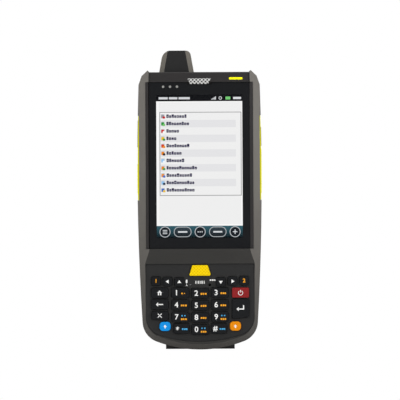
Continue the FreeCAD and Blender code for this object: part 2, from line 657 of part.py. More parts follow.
def front_housing():
    """Front shell: bevelled rails, sloping band, keypad surround, cavity and screw bosses."""
    owner = body("front_housing")
    outline = front_sketch(owner, "0")
    draw(outline, housing_outline(ears=True))
    feature(owner, "Pad", outline, minus("hump_front"))
    half = "half_bottom"
    for span in ((half, half), (minus(half), minus(half))):
        test = inside(x_span=span, z_span=("corner_height", "corner_height"), axis="y")
        dress(owner, "Fillet", test, Radius="corner_radius")
    rim = inside(y_span=("hump_front", "hump_front"), z_span=("0 - 1", "shoulder + 0.1"))
    dress(owner, "Chamfer", rim, Size="bevel_reach", Size2="bevel_run")
    profile = sketch(owner, "YZ_Plane", "0")
    draw(profile, [("surround_front", "0 - 20"), ("surround_front", "band_bottom"),
                   ("hump_front", "band_top"),
                   ("rail_front", "band_top + hump_length"), ("rail_front", "body_top + 20"),
                   ("hump_front - 20", "body_top + 20"), ("hump_front - 20", "0 - 20")])
    feature(owner, "Pocket", profile, FAR, both_ways=True)
    for place, up, radius in (("hump_front", "band_top", "hump_radius"),
                              ("surround_front", "band_bottom", "band_radius")):
        dress(owner, "Fillet", inside(y_span=(place, place), z_span=(up, up), axis="x"), Radius=radius)
    block(owner, (minus("bezel_half + fit_gap"), "bezel_half + fit_gap"),
          ("hump_front - 1", "bezel_back"),
          ("band_top", "lens_top"), cut=True)
    block(owner, (minus("ear_inner"), "ear_inner"), ("hump_front - 1", "bezel_back"),
          ("lens_top - 0.1", "body_top + 5"), cut=True)
    block(owner, (minus("lcd_half + bezel_ledge"), "lcd_half + bezel_ledge"), ("bezel_back - 1", "1"),
          ("lens_bottom + lcd_inset - bezel_ledge / 2", "lens_top - lcd_inset + fit_gap"), cut=True)
    seat = front_sketch(owner, "hump_front")
    draw(seat, panel_outline(minus("fit_gap")))
    feature(owner, "Pocket", seat, "shelf_front - hump_front")
    round_panel(owner, minus("fit_gap"), ("surround_front", "shelf_front"))
    opening = front_sketch(owner, "shelf_front")
    draw(opening, panel_outline("panel_ledge"))
    feature(owner, "Pocket", opening, "0 - shelf_front")
    reach = "scan_bottom_half + flange_reach + key_gap"
    block(owner, (minus(reach), reach), ("shelf_front - 0.1", "0 - cavity_depth + 0.1"),
          ("scan_row", "scan_row + scan_height / 2 + key_gap"), cut=True)
    cavity = front_sketch(owner, "0 - cavity_depth")
    draw(cavity, inner_outline())
    feature(owner, "Pocket", cavity, "cavity_depth")
    for across, up in screw_places():
        rod(owner, "y", (across, "0 - cavity_depth", up), "boss_radius", "cavity_depth")
        rod(owner, "y", (across, "0 - screw_bite", up), "screw_radius", "screw_bite", cut=True)
    block(owner, (minus("foot_half"), "foot_half"), ("0 - foot_front", "0"), ("0", "foot_height"))
    for way in (1, -1):
        side_slot(owner, way, ("0 - trim_half - fit_gap", "0"),
                  ("trim_base - fit_gap", "trim_top + fit_gap"))
        trim_seat(owner, way, ("hump_front", "0"))
    cover_slot(owner, ("0 - cover_half - key_gap", "0"))
    return owner


def screw_places():
    """Where the housing screws go."""
    low = [(text, "screw_base") for text in (minus("screw_side"), "screw_side")]
    high = [(text, "screw_top") for text in (minus("screw_top_side"), "screw_top_side")]
    return low + high


def side_slot(owner, way, y_span, z_span):
    """Cut a slot through one side wall."""
    inner = "half_bottom - 2 * wall"
    outer = "half_top + 4"
    x_span = (inner, outer) if way > 0 else (minus(outer), minus(inner))
    block(owner, x_span, y_span, z_span, cut=True)


def trim_seat(owner, way, y_span):
    """Set the side back around a trim."""
    inner = "half_top - trim_step"
    outer = "half_top + 4"
    x_span = (inner, outer) if way > 0 else (minus(outer), minus(inner))
    block(owner, x_span, y_span, ("trim_base - fit_gap", "trim_top + fit_gap"), cut=True)


def cover_slot(owner, y_span):
    """Cut the port cover's seat, with a round end for its hinge roll."""
    x_span = ("half_bottom - 2 * wall", "half_top + 4")
    block(owner, x_span, y_span, ("cover_base - key_gap", "cover_top"), cut=True)
    start = (hinge_side(), y_span[0], "cover_top")
    rod(owner, "y", start, "cover_barrel + key_gap", f"({y_span[1]}) - ({y_span[0]})", cut=True)
    block(owner, (hinge_side(), "half_top + 4"), y_span, ("cover_top - 1",
                                                          "cover_top + cover_barrel + key_gap"),
          cut=True)


def hinge_side():
    """The port cover's hinge axis, beside the middle."""
    return f"({side('cover_top')} - cover_barrel + cover_proud)"


def rear_housing():
    """Rear shell: rounded back, battery bay, door seat, hinge and camera, speaker and scan openings."""
    owner = body("rear_housing")
    outline = front_sketch(owner, "0")
    draw(outline, housing_outline(ears=False))
    feature(owner, "Pad", outline, "rear_back", reverse=True)
    for half, up, radius in (("half_bottom", "corner_height", "corner_radius"),
                             ("half_top", "body_top", "back_corner")):
        for span in ((half, half), (minus(half), minus(half))):
            dress(owner, "Fillet", inside(x_span=span, z_span=(up, up), axis="y"), Radius=radius)
    dress(owner, "Fillet", inside(y_span=("rear_back", "rear_back")), Radius="back_radius")
    cavity = front_sketch(owner, "0 - 1")
    draw(cavity, inner_outline())
    feature(owner, "Pocket", cavity, "bay_front + 1")
    block(owner, (minus("half_top - 2.8 * wall"), "half_top - 2.8 * wall"),
          ("0 - 1", "rear_back - wall"),
          ("upper_base", "body_top - 2.5 * wall"), cut=True)
    block(owner, ("window_place - engine_half - 1", "window_place + engine_half + 1"),
          ("0 - 1", "window_front + window_depth + 2 * window_lip"), ("upper_base", "body_top - wall"),
          cut=True)
    gap = "battery_gap"
    block(owner, (f"0 - battery_half - {gap}", f"battery_half + {gap}"), ("bay_back", "rear_back + 2"),
          (f"battery_bottom - {gap}", f"battery_top + {gap}"), cut=True)
    block(owner, (minus("door_half + fit_gap"), "door_half + fit_gap"),
          ("door_front - 0.05", "rear_back + 2"),
          ("hinge_height", "door_top + fit_gap"), cut=True)
    half = "(door_half + fit_gap)"
    rod(owner, "x", (minus(half), "hinge_back", "hinge_height"), "hinge_inset + 0.5", f"2 * {half}",
        cut=True)
    pin_half = "(door_half + pin_grip)"
    rod(owner, "x", (minus(pin_half), "hinge_back", "hinge_height"), "pin_radius", f"2 * {pin_half}",
        cut=True)
    block(owner, (minus("tongue_half + 0.2"), "tongue_half + 0.2"),
          ("tongue_front - 0.1", "tongue_back + 0.1"),
          ("door_top - 1", "door_top + latch_travel + 0.4"), cut=True)
    for across, up in screw_places()[2:]:
        rod(owner, "y", (across, "0", up), "boss_radius", "rear_back - 2 * wall")
    for across, up in screw_places():
        rod(owner, "y", (across, "0 - 1", up), "screw_radius", "rear_back", cut=True)
        rod(owner, "y", (across, "screw_seat", up), "screw_head + fit_gap", "rear_back", cut=True)
    rear_openings(owner)
    block(owner, (minus("foot_half"), "foot_half"), ("0", "foot_rear"), ("0", "foot_height"))
    block(owner, (minus("dock_half + fit_gap"), "dock_half + fit_gap"),
          ("dock_front - fit_gap", "dock_front + dock_depth + fit_gap"),
          ("0 - 1", "dock_sunk + dock_height"), cut=True)
    for way in (1, -1):
        side_slot(owner, way, ("0", "trim_half + fit_gap"), ("trim_base - fit_gap",
                                                             "trim_top + fit_gap"))
        trim_seat(owner, way, ("0", "rear_back"))
    cover_slot(owner, ("0", "cover_half + key_gap"))
    return owner


def rear_openings(owner):
    """Openings of the scan window, antenna, camera, flash and speaker."""
    block(owner, ("window_place - window_half - fit_gap", "window_place + window_half + fit_gap"),
          ("window_front - fit_gap", "window_front + window_depth + fit_gap"),
          ("body_top - 2 * wall", "body_top + 1"), cut=True)
    rod(owner, "z", ("0 - antenna_place", "element_back", "body_top - 2 * wall"),
        "element_radius + fit_gap", "3 * wall", cut=True)
    rod(owner, "z", ("0 - antenna_place", "element_back", "body_top - 3 * wall"),
        "element_radius + element_flange + fit_gap", "2 * wall", cut=True)
    for across, radius in (("0 - camera_place", "camera_radius"),
                           ("flash_place - camera_place", "flash_radius")):
        rod(owner, "y", (across, "rear_back - 2 * wall", "camera_row"), f"{radius} + fit_gap",
            "3 * wall", cut=True)
    for step in (-2, -1, 0, 1, 2):
        middle = f"speaker_row + {step} * slot_pitch"
        block(owner, ("speaker_place - slot_half", "speaker_place + slot_half"),
              ("rear_back - wall - 0.5", "rear_back + 1"),
              (f"{middle} - slot_width / 2", f"{middle} + slot_width / 2"), cut=True)


def display_bezel():
    """Frame round the lens: sloping side strips and the dark strip above with its earpiece opening."""
    owner = body("display_bezel")
    block(owner, (minus("bezel_half"), "bezel_half"), ("bezel_front", "bezel_back"),
          ("lens_bottom", "lens_top - fit_gap"))
    block(owner, (minus("ear_inner - fit_gap"), "ear_inner - fit_gap"), ("bezel_front", "bezel_back"),
          ("lens_top - 1", "body_top"))
    lens = "lens_half + fit_gap"
    block(owner, (minus(lens), lens), ("bezel_front - 1", "lens_back"), ("lens_bottom - 1", "lens_top"),
          cut=True)
    window = "lcd_half + fit_gap"
    block(owner, (minus(window), window), ("lens_back - 1", "bezel_back + 1"),
          ("lens_bottom + lcd_inset - fit_gap", "lens_top - lcd_inset + fit_gap"), cut=True)
    for span in ((lens, lens), (minus(lens), minus(lens))):
        test = inside(x_span=span, y_span=("bezel_front", "bezel_front"))
        dress(owner, "Chamfer", test, Size="strip_slope", Size2="lens_sunk - 0.2")
    dress(owner, "Fillet", inside(y_span=("bezel_front", "bezel_front"),
                                  z_span=("body_top", "body_top")),
          Radius="0.8")
    opening = front_sketch(owner, "bezel_front")
    draw(opening, widen(grille_corners(), "fit_gap"))
    feature(owner, "Pocket", opening, "bezel_thickness")
    for across in light_places():
        rod(owner, "y", (across, "lens_back - 1", "light_row"), "light_radius + fit_gap",
            "bezel_thickness", cut=True)
    return owner


def grille_corners():
    """Outline of the earpiece grille."""
    return quad(minus("grille_bottom_half"), "grille_bottom_half", "grille_bottom", "grille_top",
                top_half_cut="grille_bottom_half - grille_top_half")


def light_places():
    """Where the status lights stand, from the middle outward."""
    return [f"0 - light_first - {step} * light_pitch" for step in range(3)]


def touch_panel():
    """Display lens with the touch sensor, notched round the earpiece."""
    owner = body("touch_panel")
    block(owner, (minus("lens_half"), "lens_half"), ("lens_front", "lens_back"),
          ("lens_bottom", "lens_top - fit_gap"))
    corners = inside(z_span=("lens_bottom", "lens_top"), axis="y")
    dress(owner, "Fillet", corners, Radius="0.8")
    notch = "grille_top_half + 0.4"
    block(owner, (minus(notch), notch), ("lens_front - 1", "lens_back + 1"),
          ("grille_bottom - 0.4", "lens_top + 1"), cut=True)
    for across in light_places():
        rod(owner, "y", (across, "lens_front - 1", "light_row"), "light_radius + 0.05",
            "lens_thickness + 2", cut=True)
    return owner


def lcd_module():
    """Display module bonded behind the lens."""
    owner = body("lcd_module")
    block(owner, (minus("lcd_half"), "lcd_half"), ("lens_back", "0 - cavity_depth"),
          ("lens_bottom + lcd_inset", "lens_top - lcd_inset"))
    return owner


def earpiece_grille():
    """Mesh plate over the earpiece."""
    owner = body("earpiece_grille")
    outline = front_sketch(owner, "grille_back")
    draw(outline, grille_corners())
    feature(owner, "Pad", outline, "grille_thickness")
    return owner


def earpiece():
    """Receiver behind the grille, on the housing's ledge."""
    owner = body("earpiece")
    half = "grille_bottom_half - 0.3"
    block(owner, (minus(half), half), ("grille_back", "bezel_back"),
          ("grille_bottom + 0.2", "grille_top - 0.2"))
    return owner


def status_lights():
    """Three light pipes beside the earpiece."""
    rods = []
    for across in light_places():
        item = doc.addObject("Part::Cylinder", "light")
        item.Placement = FreeCAD.Placement(FreeCAD.Vector(), TURNS["y"])
        bind(item, "Radius", "light_radius")
        bind(item, "Height", "bezel_back - lens_front + 0.05")
        for name, text in zip("xyz", (across, "lens_front - 0.05", "light_row")):
            bind(item, "Placement.Base." + name, text)
        rods.append(item)
    return gather("status_lights", rods)


def gather(name, solids):
    """Join separate solids in one sub-part."""
    item = doc.addObject("Part::MultiFuse", name)
    item.Label = name
    item.Shapes = solids
    nodes.append(item)
    return item


def keypad_bezel():
    """Keypad panel with an opening for each key, the microphone hole and the reset hole."""
    owner = body("keypad_bezel")
    outline = front_sketch(owner, "shelf_front")
    draw(outline, panel_outline("0"))
    feature(owner, "Pad", outline, "panel_thickness")
    round_panel(owner, "0", ("panel_front", "shelf_front"))
    for name, corners in KEYS.items():
        hole = front_sketch(owner, "panel_front")
        draw(hole, rounded(widen(corners, "key_gap"), f"{corner_of(name)} + key_gap / 2"))
        feature(owner, "Pocket", hole, "panel_thickness")
    rod(owner, "y", ("0 - mic_place", "panel_front - 1", "mic_row"), "mic_hole", "panel_thickness + 2",
        cut=True)
    rod(owner, "y", ("mic_place", "panel_front - 1", "mic_row"), "reset_hole", "panel_thickness + 2",
        cut=True)
    return owner


def keypad_mat():
    """Rubber mat that seals the keypad against the ledge, open round the plungers."""
    owner = body("keypad_mat")
    outline = front_sketch(owner, "keyboard_front")
    draw(outline, panel_outline("panel_ledge / 2"))
    feature(owner, "Pad", outline, "mat_thickness")
    round_panel(owner, "panel_ledge / 2", ("mat_front", "keyboard_front"))
    for corners in KEYS.values():
        across, up = key_middle(corners)
        rod(owner, "y", (across, "mat_front - 1", up), "dome_radius + 0.2", "mat_thickness + 2",
            cut=True)
    rod(owner, "y", ("0 - mic_place", "mat_front - 1", "mic_row"), "mic_radius + 0.1",
        "mat_thickness + 2", cut=True)
    return owner


def keypad_board():
    """Keypad board with a contact dome under each key and the connector to the main board."""
    owner = body("keypad_board")
    outline = front_sketch(owner, "keyboard_back")
    draw(outline, panel_outline("panel_ledge / 2"))
    feature(owner, "Pad", outline, "keyboard_thickness")
    round_panel(owner, "panel_ledge / 2", ("keyboard_front", "keyboard_back"))
    for corners in KEYS.values():
        across, up = key_middle(corners)
        rod(owner, "y", (across, "keyboard_front - dome_height", up), "dome_radius", "dome_height + 0.5")
    block(owner, ("0 - 9", "9"), ("keyboard_back", "board_front"), ("row_three - 2", "row_three + 2"))
    return owner


def microphone():
    """Microphone capsule on the keypad board, behind its hole."""
    owner = body("microphone")
    rod(owner, "y", ("0 - mic_place", "shelf_front + 0.05", "mic_row"), "mic_radius",
        "keyboard_front - shelf_front - 0.05")
    return owner


def keypad_key(name, corners):
    """One key: rounded cap, flange under the panel and plunger above its dome."""
    owner = body(name)
    outline = front_sketch(owner, "flange_front")
    draw(outline, rounded(corners, corner_of(name)))
    feature(owner, "Pad", outline, "flange_front - key_front")
    dress(owner, "Fillet", inside(y_span=("key_front", "key_front")), Radius="key_edge")
    left, right = corners[0][0], corners[1][0]
    low = f"({corners[0][1]} + {corners[1][1]}) / 2 + flange_inset"
    block(owner, (f"{left} - flange_reach", f"{right} + flange_reach"), ("flange_front", "flange_back"),
          (low, f"{corners[2][1]} - flange_inset"))
    across, up = key_middle(corners)
    rod(owner, "y", (across, "flange_front", up), "plunger_radius", "plunger_end - flange_front")
    return owner


def inner_frame():
    """Metal frame that holds the display module and carries the main board."""
    owner = body("inner_frame")
    block(owner, (minus("frame_half"), "frame_half"), ("0 - cavity_depth", "frame_back"),
          ("frame_base", "frame_top"))
    pitch = "(frame_top - frame_base - frame_bar) / 3"
    for step in range(3):
        base = f"frame_base + frame_bar + {step} * {pitch}"
        block(owner, ("frame_rail - frame_half", "frame_half - frame_rail"),
              ("0.5 - cavity_depth", "frame_back + 1"),
              (base, f"{base} + {pitch} - frame_bar"), cut=True)
    for across in (minus("frame_half - 5"), "frame_half - 5"):
        for up in ("frame_base + 3", "frame_top - 3"):
            rod(owner, "y", (across, "frame_back", up), "standoff_radius", "standoff")
    return owner


SHIELD_CANS = (
    (("0 - 18", "2"), ("frame_top - 52", "frame_top - 28")),
    (("6", "20"), ("frame_top - 58", "frame_top - 40")),
    (("0 - 15", "15"), ("frame_base - 8", "frame_base + 14")),
)


def main_board():
    """Main circuit board with shield cans and the switches behind the side buttons."""
    owner = body("main_board")
    board = ("board_front", "board_back")
    block(owner, (minus("board_half"), "board_half"), board, ("frame_base", "frame_top"))
    block(owner, (minus("board_half - 6"), "board_half - 6"), board, ("board_base", "frame_base + 1"))
    for across, up in SHIELD_CANS:
        block(owner, across, ("board_back", "board_back + can_height"), up)
    reach = "trim_inner - flange_thickness - button_travel - 0.2"
    for low, span in (("left_trigger_base", (minus(reach), "0 - board_half + 2")),
                      ("right_trigger_base", ("board_half - 2", reach)),
                      ("function_base", ("board_half - 2", reach))):
        start = f"{low} + switch_place"
        block(owner, span, ("board_back", "board_back + switch_depth"),
              (start, f"{start} + switch_length"))
    return owner


def scan_engine():
    """Barcode reading engine under the scan window."""
    owner = body("scan_engine")
    top = "body_top - wall - 1.3"
    y_span = ("board_back", "board_back + engine_depth")
    block(owner, ("window_place - engine_half", "window_place + engine_half"), y_span,
          (f"{top} - engine_height", top))
    for step, radius in ((-0.45, "2.4"), (0.35, "1.7")):
        start = (f"window_place + {step} * engine_half", "window_front + window_depth / 4",
                 f"{top} - 0.5")
        rod(owner, "z", start, radius, "0.9")
    return owner


def scan_window():
    """Tinted window in the top face, with a flange under the wall."""
    owner = body("scan_window")
    left = "window_place - window_half"
    right = "window_place + window_half"
    block(owner, (left, right), ("window_front", "window_front + window_depth"),
          ("body_top - wall - 0.3", "body_top - 0.2"))
    block(owner, (f"{left} - window_lip", f"{right} + window_lip"),
          ("window_front - window_lip", "window_front + window_depth + window_lip / 2"),
          ("body_top - wall - 0.4", "body_top - wall"))
    return owner


def antenna_cap():
    """Antenna housing on the top face, bored for its rod."""
    owner = body("antenna_cap")
    left = "0 - antenna_place - antenna_width / 2"
    right = "antenna_width / 2 - antenna_place"
    top_left = f"{left} + antenna_taper"
    top_right = f"{right} - antenna_taper"
    top = "body_top + antenna_height"
    outline = front_sketch(owner, "antenna_rear")
    draw(outline, [(left, "body_top"), (right, "body_top"), (top_right, top), (top_left, top)])
    feature(owner, "Pad", outline, "antenna_front + antenna_rear")
    sides = ((left, top_left), (top_right, right))
    for span in sides:
        test = inside(x_span=span, y_span=("0 - antenna_front", "0 - antenna_front"))
        dress(owner, "Chamfer", test, Size="antenna_bevel")
    for across, radius in ((top_left, "antenna_round"), (top_right, "antenna_small_round")):
        dress(owner, "Fillet", inside(x_span=(across, across), z_span=(top, top), axis="y"),
              Radius=radius)
    test = inside(x_span=sides[0], y_span=("antenna_rear", "antenna_rear"),
                  z_span=("body_top", f"{top} - 0.1"))
    dress(owner, "Fillet", test, Radius="antenna_small_round")
    rod(owner, "z", ("0 - antenna_place", "element_back", "body_top"), "element_radius + fit_gap",
        "element_length + 0.5", cut=True)
    return owner


def antenna_element():
    """Antenna rod with a base disc under the top wall."""
    owner = body("antenna_element")
    start = ("0 - antenna_place", "element_back", "body_top - wall - element_flange")
    rod(owner, "z", start, "element_radius", "element_flange + wall + element_length")
    rod(owner, "z", start, "element_radius + element_flange", "element_flange")
    return owner


def battery_pack():
    """Battery in its bay."""
    owner = body("battery_pack")
    block(owner, (minus("battery_half"), "battery_half"), ("bay_back", "battery_back"),
          ("battery_bottom", "battery_top"))
    dress(owner, "Fillet", inside(y_span=("battery_back", "battery_back"), axis="z"), Radius="1.5")
    return owner


def battery_door():
    """Battery door with its hinge barrel and the channel of its latch."""
    owner = body("battery_door")
    block(owner, (minus("door_half"), "door_half"), ("door_front", "door_back"),
          ("hinge_height", "door_top"))
    dress(owner, "Fillet", inside(y_span=("door_front", "door_back"), z_span=("door_top", "door_top"),
                                  axis="y"),
          Radius="door_corner")
    rod(owner, "x", (minus("door_half"), "hinge_back", "hinge_height"), "barrel_radius", "2 * door_half")
    rod(owner, "x", (minus("door_half + 1"), "hinge_back", "hinge_height"), "pin_radius + run_gap",
        "2 * door_half + 2", cut=True)
    thumb_top = "door_top - latch_drop"
    block(owner, (minus("latch_half + key_gap"), "latch_half + key_gap"),
          ("tongue_front - 0.1", "door_back + 1"),
          (f"{thumb_top} - latch_height - key_gap", f"{thumb_top} + latch_travel + key_gap"), cut=True)
    block(owner, (minus("tongue_half + key_gap"), "tongue_half + key_gap"),
          ("tongue_front - 0.1", "tongue_back + 0.1"),
          (f"{thumb_top} - 1", "door_top + 1"), cut=True)
    return owner


def door_latch():
    """Sliding latch of the battery door, drawn released."""
    owner = body("door_latch")
    thumb_top = "door_top - latch_drop"
    block(owner, (minus("latch_half"), "latch_half"), ("tongue_front", "door_back"),
          (f"{thumb_top} - latch_height", thumb_top))
    for step in range(4):
        high = f"{thumb_top} - 1.6 - {step} * groove_pitch"
        block(owner, (minus("latch_half - 1"), "latch_half - 1"),
              ("door_back - groove_depth", "door_back + 1"),
              (f"{high} - groove_width", high), cut=True)
    block(owner, (minus("tongue_half"), "tongue_half"), ("tongue_front", "tongue_back"),
          (f"{thumb_top} - 1", "door_top - 0.1"))
    return owner


def door_hinge_pin():
    """Hinge pin of the battery door, held in the rear housing at both ends."""
    owner = body("door_hinge_pin")
    half = "(door_half + pin_grip)"
    rod(owner, "x", (minus(half), "hinge_back", "hinge_height"), "pin_radius", f"2 * {half}")
    return owner


def side_corners(low, high, inner, outer_gap, way):
    """Outline of a piece in a side wall: flat inside, bowed like the housing outside."""
    out_low = f"{side(low)} + ({outer_gap})"
    out_high = f"{side(high)} + ({outer_gap})"
    if way > 0:
        return [(inner, low), (out_low, low, "side_radius"), (out_high, high), (inner, high)]
    return [(minus(out_low), low), (minus(inner), low), (minus(inner), high),
            (minus(out_high), high, "side_radius")]


def side_piece(name, low, high, inner, outer_gap, half, way):
    """A body padded from a side piece's outline, centred on the parting plane."""
    owner = body(name)
    outline = front_sketch(owner, "0")
    draw(outline, side_corners(low, high, inner, outer_gap, way))
    feature(owner, "Pad", outline, f"2 * ({half})", both_ways=True)
    return owner


def side_trim(name, way, windows):
    """Coloured trim in a side wall, with a window for each button."""
    owner = side_piece(name, "trim_base", "trim_top", "trim_inner", "0.05", "trim_half", way)
    for low, high in windows:
        x_span = ("trim_inner - 1", "half_top + 4") if way > 0 else (minus("half_top + 4"),
                                                                     "1 - (trim_inner)")
        half = "button_half + key_gap"
        block(owner, x_span, (minus(half), half), (f"{low} - key_gap", f"{high} + key_gap"), cut=True)
    return owner


def side_button(name, low, high, way):
    """Side button: bowed cap through the trim and a flange behind it."""
    owner = side_piece(name, low, high, "trim_inner - 0.1", "button_proud", "button_half", way)
    outside = ("half_bottom", FAR) if way > 0 else (minus(FAR), minus("half_bottom"))
    dress(owner, "Fillet", inside(x_span=outside, axis="x"), Radius="button_edge")
    inner = "trim_inner - button_seat - flange_thickness"
    outer = "trim_inner - button_seat"
    x_span = (inner, outer) if way > 0 else (minus(outer), minus(inner))
    half = "button_half + button_flange"
    block(owner, x_span, (minus(half), half), (f"{low} + 0.3", f"{high} - 0.3"))
    return owner


def volume_rocker():
    """Rocker in the left trim, on a pivot across its middle."""
    owner = side_piece("volume_rocker", "rocker_base", "rocker_top", "trim_inner + 0.1", "button_proud",
                       "button_half", -1)
    dress(owner, "Fillet", inside(x_span=(minus(FAR), minus("half_bottom")), axis="x"),
          Radius="button_edge")
    start = (minus(rocker_axis()), minus("button_half + button_flange"), "rocker_middle")
    rod(owner, "y", start, "rocker_pivot", "2 * (button_half + button_flange)")
    return owner


def rocker_axis():
    """Place of the rocker's pivot beside the middle."""
    return "(trim_inner + trim_depth / 2)"


def rocker_bore(owner):
    """Bore the left trim for the rocker's pivot."""
    half = "button_half + button_flange + 0.05"
    rod(owner, "y", (minus(rocker_axis()), minus(half), "rocker_middle"), "rocker_pivot + run_gap",
        f"2 * ({half})", cut=True)


def port_cover():
    """Rubber cover over the side connectors, with a hinge roll at its top."""
    owner = side_piece("port_cover", "cover_base", "cover_top", "(half_bottom - 0.2)", "cover_proud",
                       "cover_half", 1)
    for low in ("cover_base + 3.5", "cover_base + 7.2"):
        start = (f"{side('cover_base')} + cover_groove", minus("cover_half + 1"), low)
        rod(owner, "y", start, "cover_groove", "2 * cover_half + 2", cut=True)
    rod(owner, "y", (hinge_side(), minus("cover_half"), "cover_top"), "cover_barrel", "2 * cover_half")
    rod(owner, "y", (hinge_side(), minus("cover_half + 1"), "cover_top"), "cover_pin + run_gap",
        "2 * cover_half + 2", cut=True)
    return owner


def side_port():
    """Connector block behind the port cover, with two sockets."""
    owner = body("side_port")
    outer = "half_bottom - wall - 0.6"
    rear = "bay_front - port_gap"
    block(owner, (f"{outer} - port_depth", outer), ("board_back", rear),
          ("port_base", "port_base + port_height"))
    middle = f"(board_back + {rear}) / 2"
    block(owner, (f"{outer} - 6", f"{outer} + 1"), (f"{middle} - 1.5", f"{middle} + 1.5"),
          ("port_base + 1.2", "port_base + 9.2"), cut=True)
    rod(owner, "x", (f"{outer} - 6", middle, "port_base + 12"), "socket_radius", "7", cut=True)
    return owner


def dock_connector():
    """Row of dock contacts in the foot."""
    owner = body("dock_connector")
    block(owner, (minus("dock_half"), "dock_half"), ("dock_front", "dock_front + dock_depth"),
          ("dock_sunk", "dock_sunk + dock_height"))
    for step in range(9):
        middle = f"0 - dock_half + 2 + {step} * (2 * dock_half - 4) / 8"
        block(owner, (f"{middle} - 0.5", f"{middle} + 0.5"), ("dock_front + 1",
                                                              "dock_front + dock_depth - 1"),
              ("dock_sunk - 1", "dock_sunk + 0.3"), cut=True)
    return owner


def camera_module():
    """Camera and flash in the upper part of the back."""
    owner = body("camera_module")
    left = "0 - camera_place - camera_half"
    right = "flash_place - camera_place + flash_radius + 1"
    block(owner, (left, right), ("board_back", "rear_back - wall"),
          ("camera_row - camera_half", "camera_row + camera_half"))
    for across, radius in (("0 - camera_place", "camera_radius"),
                           ("flash_place - camera_place", "flash_radius")):
        rod(owner, "y", (across, "rear_back - wall - 1", "camera_row"), radius, "wall + 0.8")
    rod(owner, "y", ("0 - camera_place", "rear_back - 1", "camera_row"), "camera_radius - camera_ring",
        "2", cut=True)
    return owner


def rear_speaker():
    """Loudspeaker behind the slots in the back."""
    owner = body("rear_speaker")
    rod(owner, "y", ("speaker_place", "rear_back - wall - speaker_thickness", "speaker_row"),
        "speaker_radius", "speaker_thickness")
    return owner


def housing_screws():
    """Four screws that hold the housings together."""
    screws = []
    for across, up in screw_places():
        for radius, start, length in (("screw_radius", "0 - screw_bite", "screw_bite + screw_seat"),
                                      ("screw_head", "screw_seat", "screw_head_depth")):
            item = doc.addObject("Part::Cylinder", "screw")
            item.Placement = FreeCAD.Placement(FreeCAD.Vector(), TURNS["y"])
            bind(item, "Radius", radius)
            bind(item, "Height", length)
            for name, text in zip("xyz", (across, start, up)):
                bind(item, "Placement.Base." + name, text)
            screws.append(item)
    return gather("housing_screws", screws)


front_housing()
rear_housing()
display_bezel()
touch_panel()
lcd_module()
earpiece_grille()
earpiece()
status_lights()
keypad_bezel()
keypad_mat()
keypad_board()
microphone()
for name, corners in KEYS.items():
    keypad_key(name, corners)
inner_frame()
main_board()
scan_engine()
scan_window()
antenna_cap()
antenna_element()
battery_pack()
battery_door()
door_latch()
door_hinge_pin()
rocker_bore(side_trim("side_trim_left", -1, [("left_trigger_base", "left_trigger_top"),
                                             ("rocker_base", "rocker_top")]))
side_trim("side_trim_right", 1, [("right_trigger_base", "right_trigger_top"),
                                 ("function_base", "function_top")])
side_button("left_trigger", "left_trigger_base", "left_trigger_top", -1)
side_button("right_trigger", "right_trigger_base", "right_trigger_top", 1)
side_button("function_key", "function_base", "function_top", 1)
volume_rocker()
port_cover()
side_port()
dock_connector()
camera_module()
rear_speaker()
housing_screws()

doc.recompute()
for item in doc.Objects:
    if "Invalid" in item.State or "Error" in item.State:
        raise RuntimeError(f"{item.Name} ({item.Label}) failed: {item.State}")
os.makedirs("parts", exist_ok=True)
for item in nodes:
    if item.Shape.isNull() or not item.Shape.isValid():
        raise RuntimeError(f"{item.Label} has no valid shape")
    item.Shape.exportStep(f"parts/{item.Label}.step")
    print(item.Label, len(item.Shape.Solids), round(item.Shape.Volume, 1))
print(len(nodes), "sub-parts")
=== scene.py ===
import bpy
import math
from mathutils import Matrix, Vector


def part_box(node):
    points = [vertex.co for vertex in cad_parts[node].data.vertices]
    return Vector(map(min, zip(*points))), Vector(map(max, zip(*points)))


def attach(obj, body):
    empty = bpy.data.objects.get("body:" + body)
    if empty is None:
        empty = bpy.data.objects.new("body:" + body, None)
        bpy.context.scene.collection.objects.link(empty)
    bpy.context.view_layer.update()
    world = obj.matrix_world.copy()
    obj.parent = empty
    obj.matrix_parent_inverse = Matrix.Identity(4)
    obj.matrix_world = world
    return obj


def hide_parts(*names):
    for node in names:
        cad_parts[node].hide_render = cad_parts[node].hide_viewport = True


bl_info = {
    "name": "Data terminal dressing",
    "version": (1, 0, 0),
    "blender": (4, 5, 0),
    "location": "3D View > Sidebar > Terminal",
    "description": "Materials, display picture, key legends and studio for a hand-held data terminal",
    "category": "Object",
}

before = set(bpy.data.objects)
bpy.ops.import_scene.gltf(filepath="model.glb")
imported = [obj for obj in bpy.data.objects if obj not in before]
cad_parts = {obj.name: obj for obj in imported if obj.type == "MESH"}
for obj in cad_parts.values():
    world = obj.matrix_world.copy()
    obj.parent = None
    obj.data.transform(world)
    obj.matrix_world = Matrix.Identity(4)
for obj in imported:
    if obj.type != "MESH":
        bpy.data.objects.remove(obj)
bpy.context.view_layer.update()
MM = 0.001
FACING = (math.pi / 2, 0, 0)


def paint(red, green, blue):
    """A linear colour from its usual 0 to 255 numbers."""
    def linear(value):
        share = value / 255
        return share / 12.92 if share <= 0.04045 else ((share + 0.055) / 1.055) ** 2.4
    return (linear(red), linear(green), linear(blue), 1.0)


def colour_setting(name, description, *levels):
    """A colour that a user can set, from its usual 0 to 255 numbers."""
    return bpy.props.FloatVectorProperty(
        name=name, description=description, default=paint(*levels), size=4, min=0.0, max=1.0, subtype="COLOR")


def length_setting(name, description, size):
    """A length that a user can set, in metres."""
    return bpy.props.FloatProperty(name=name, description=description, default=size, unit="LENGTH")


# Sizes and colours that a user can set


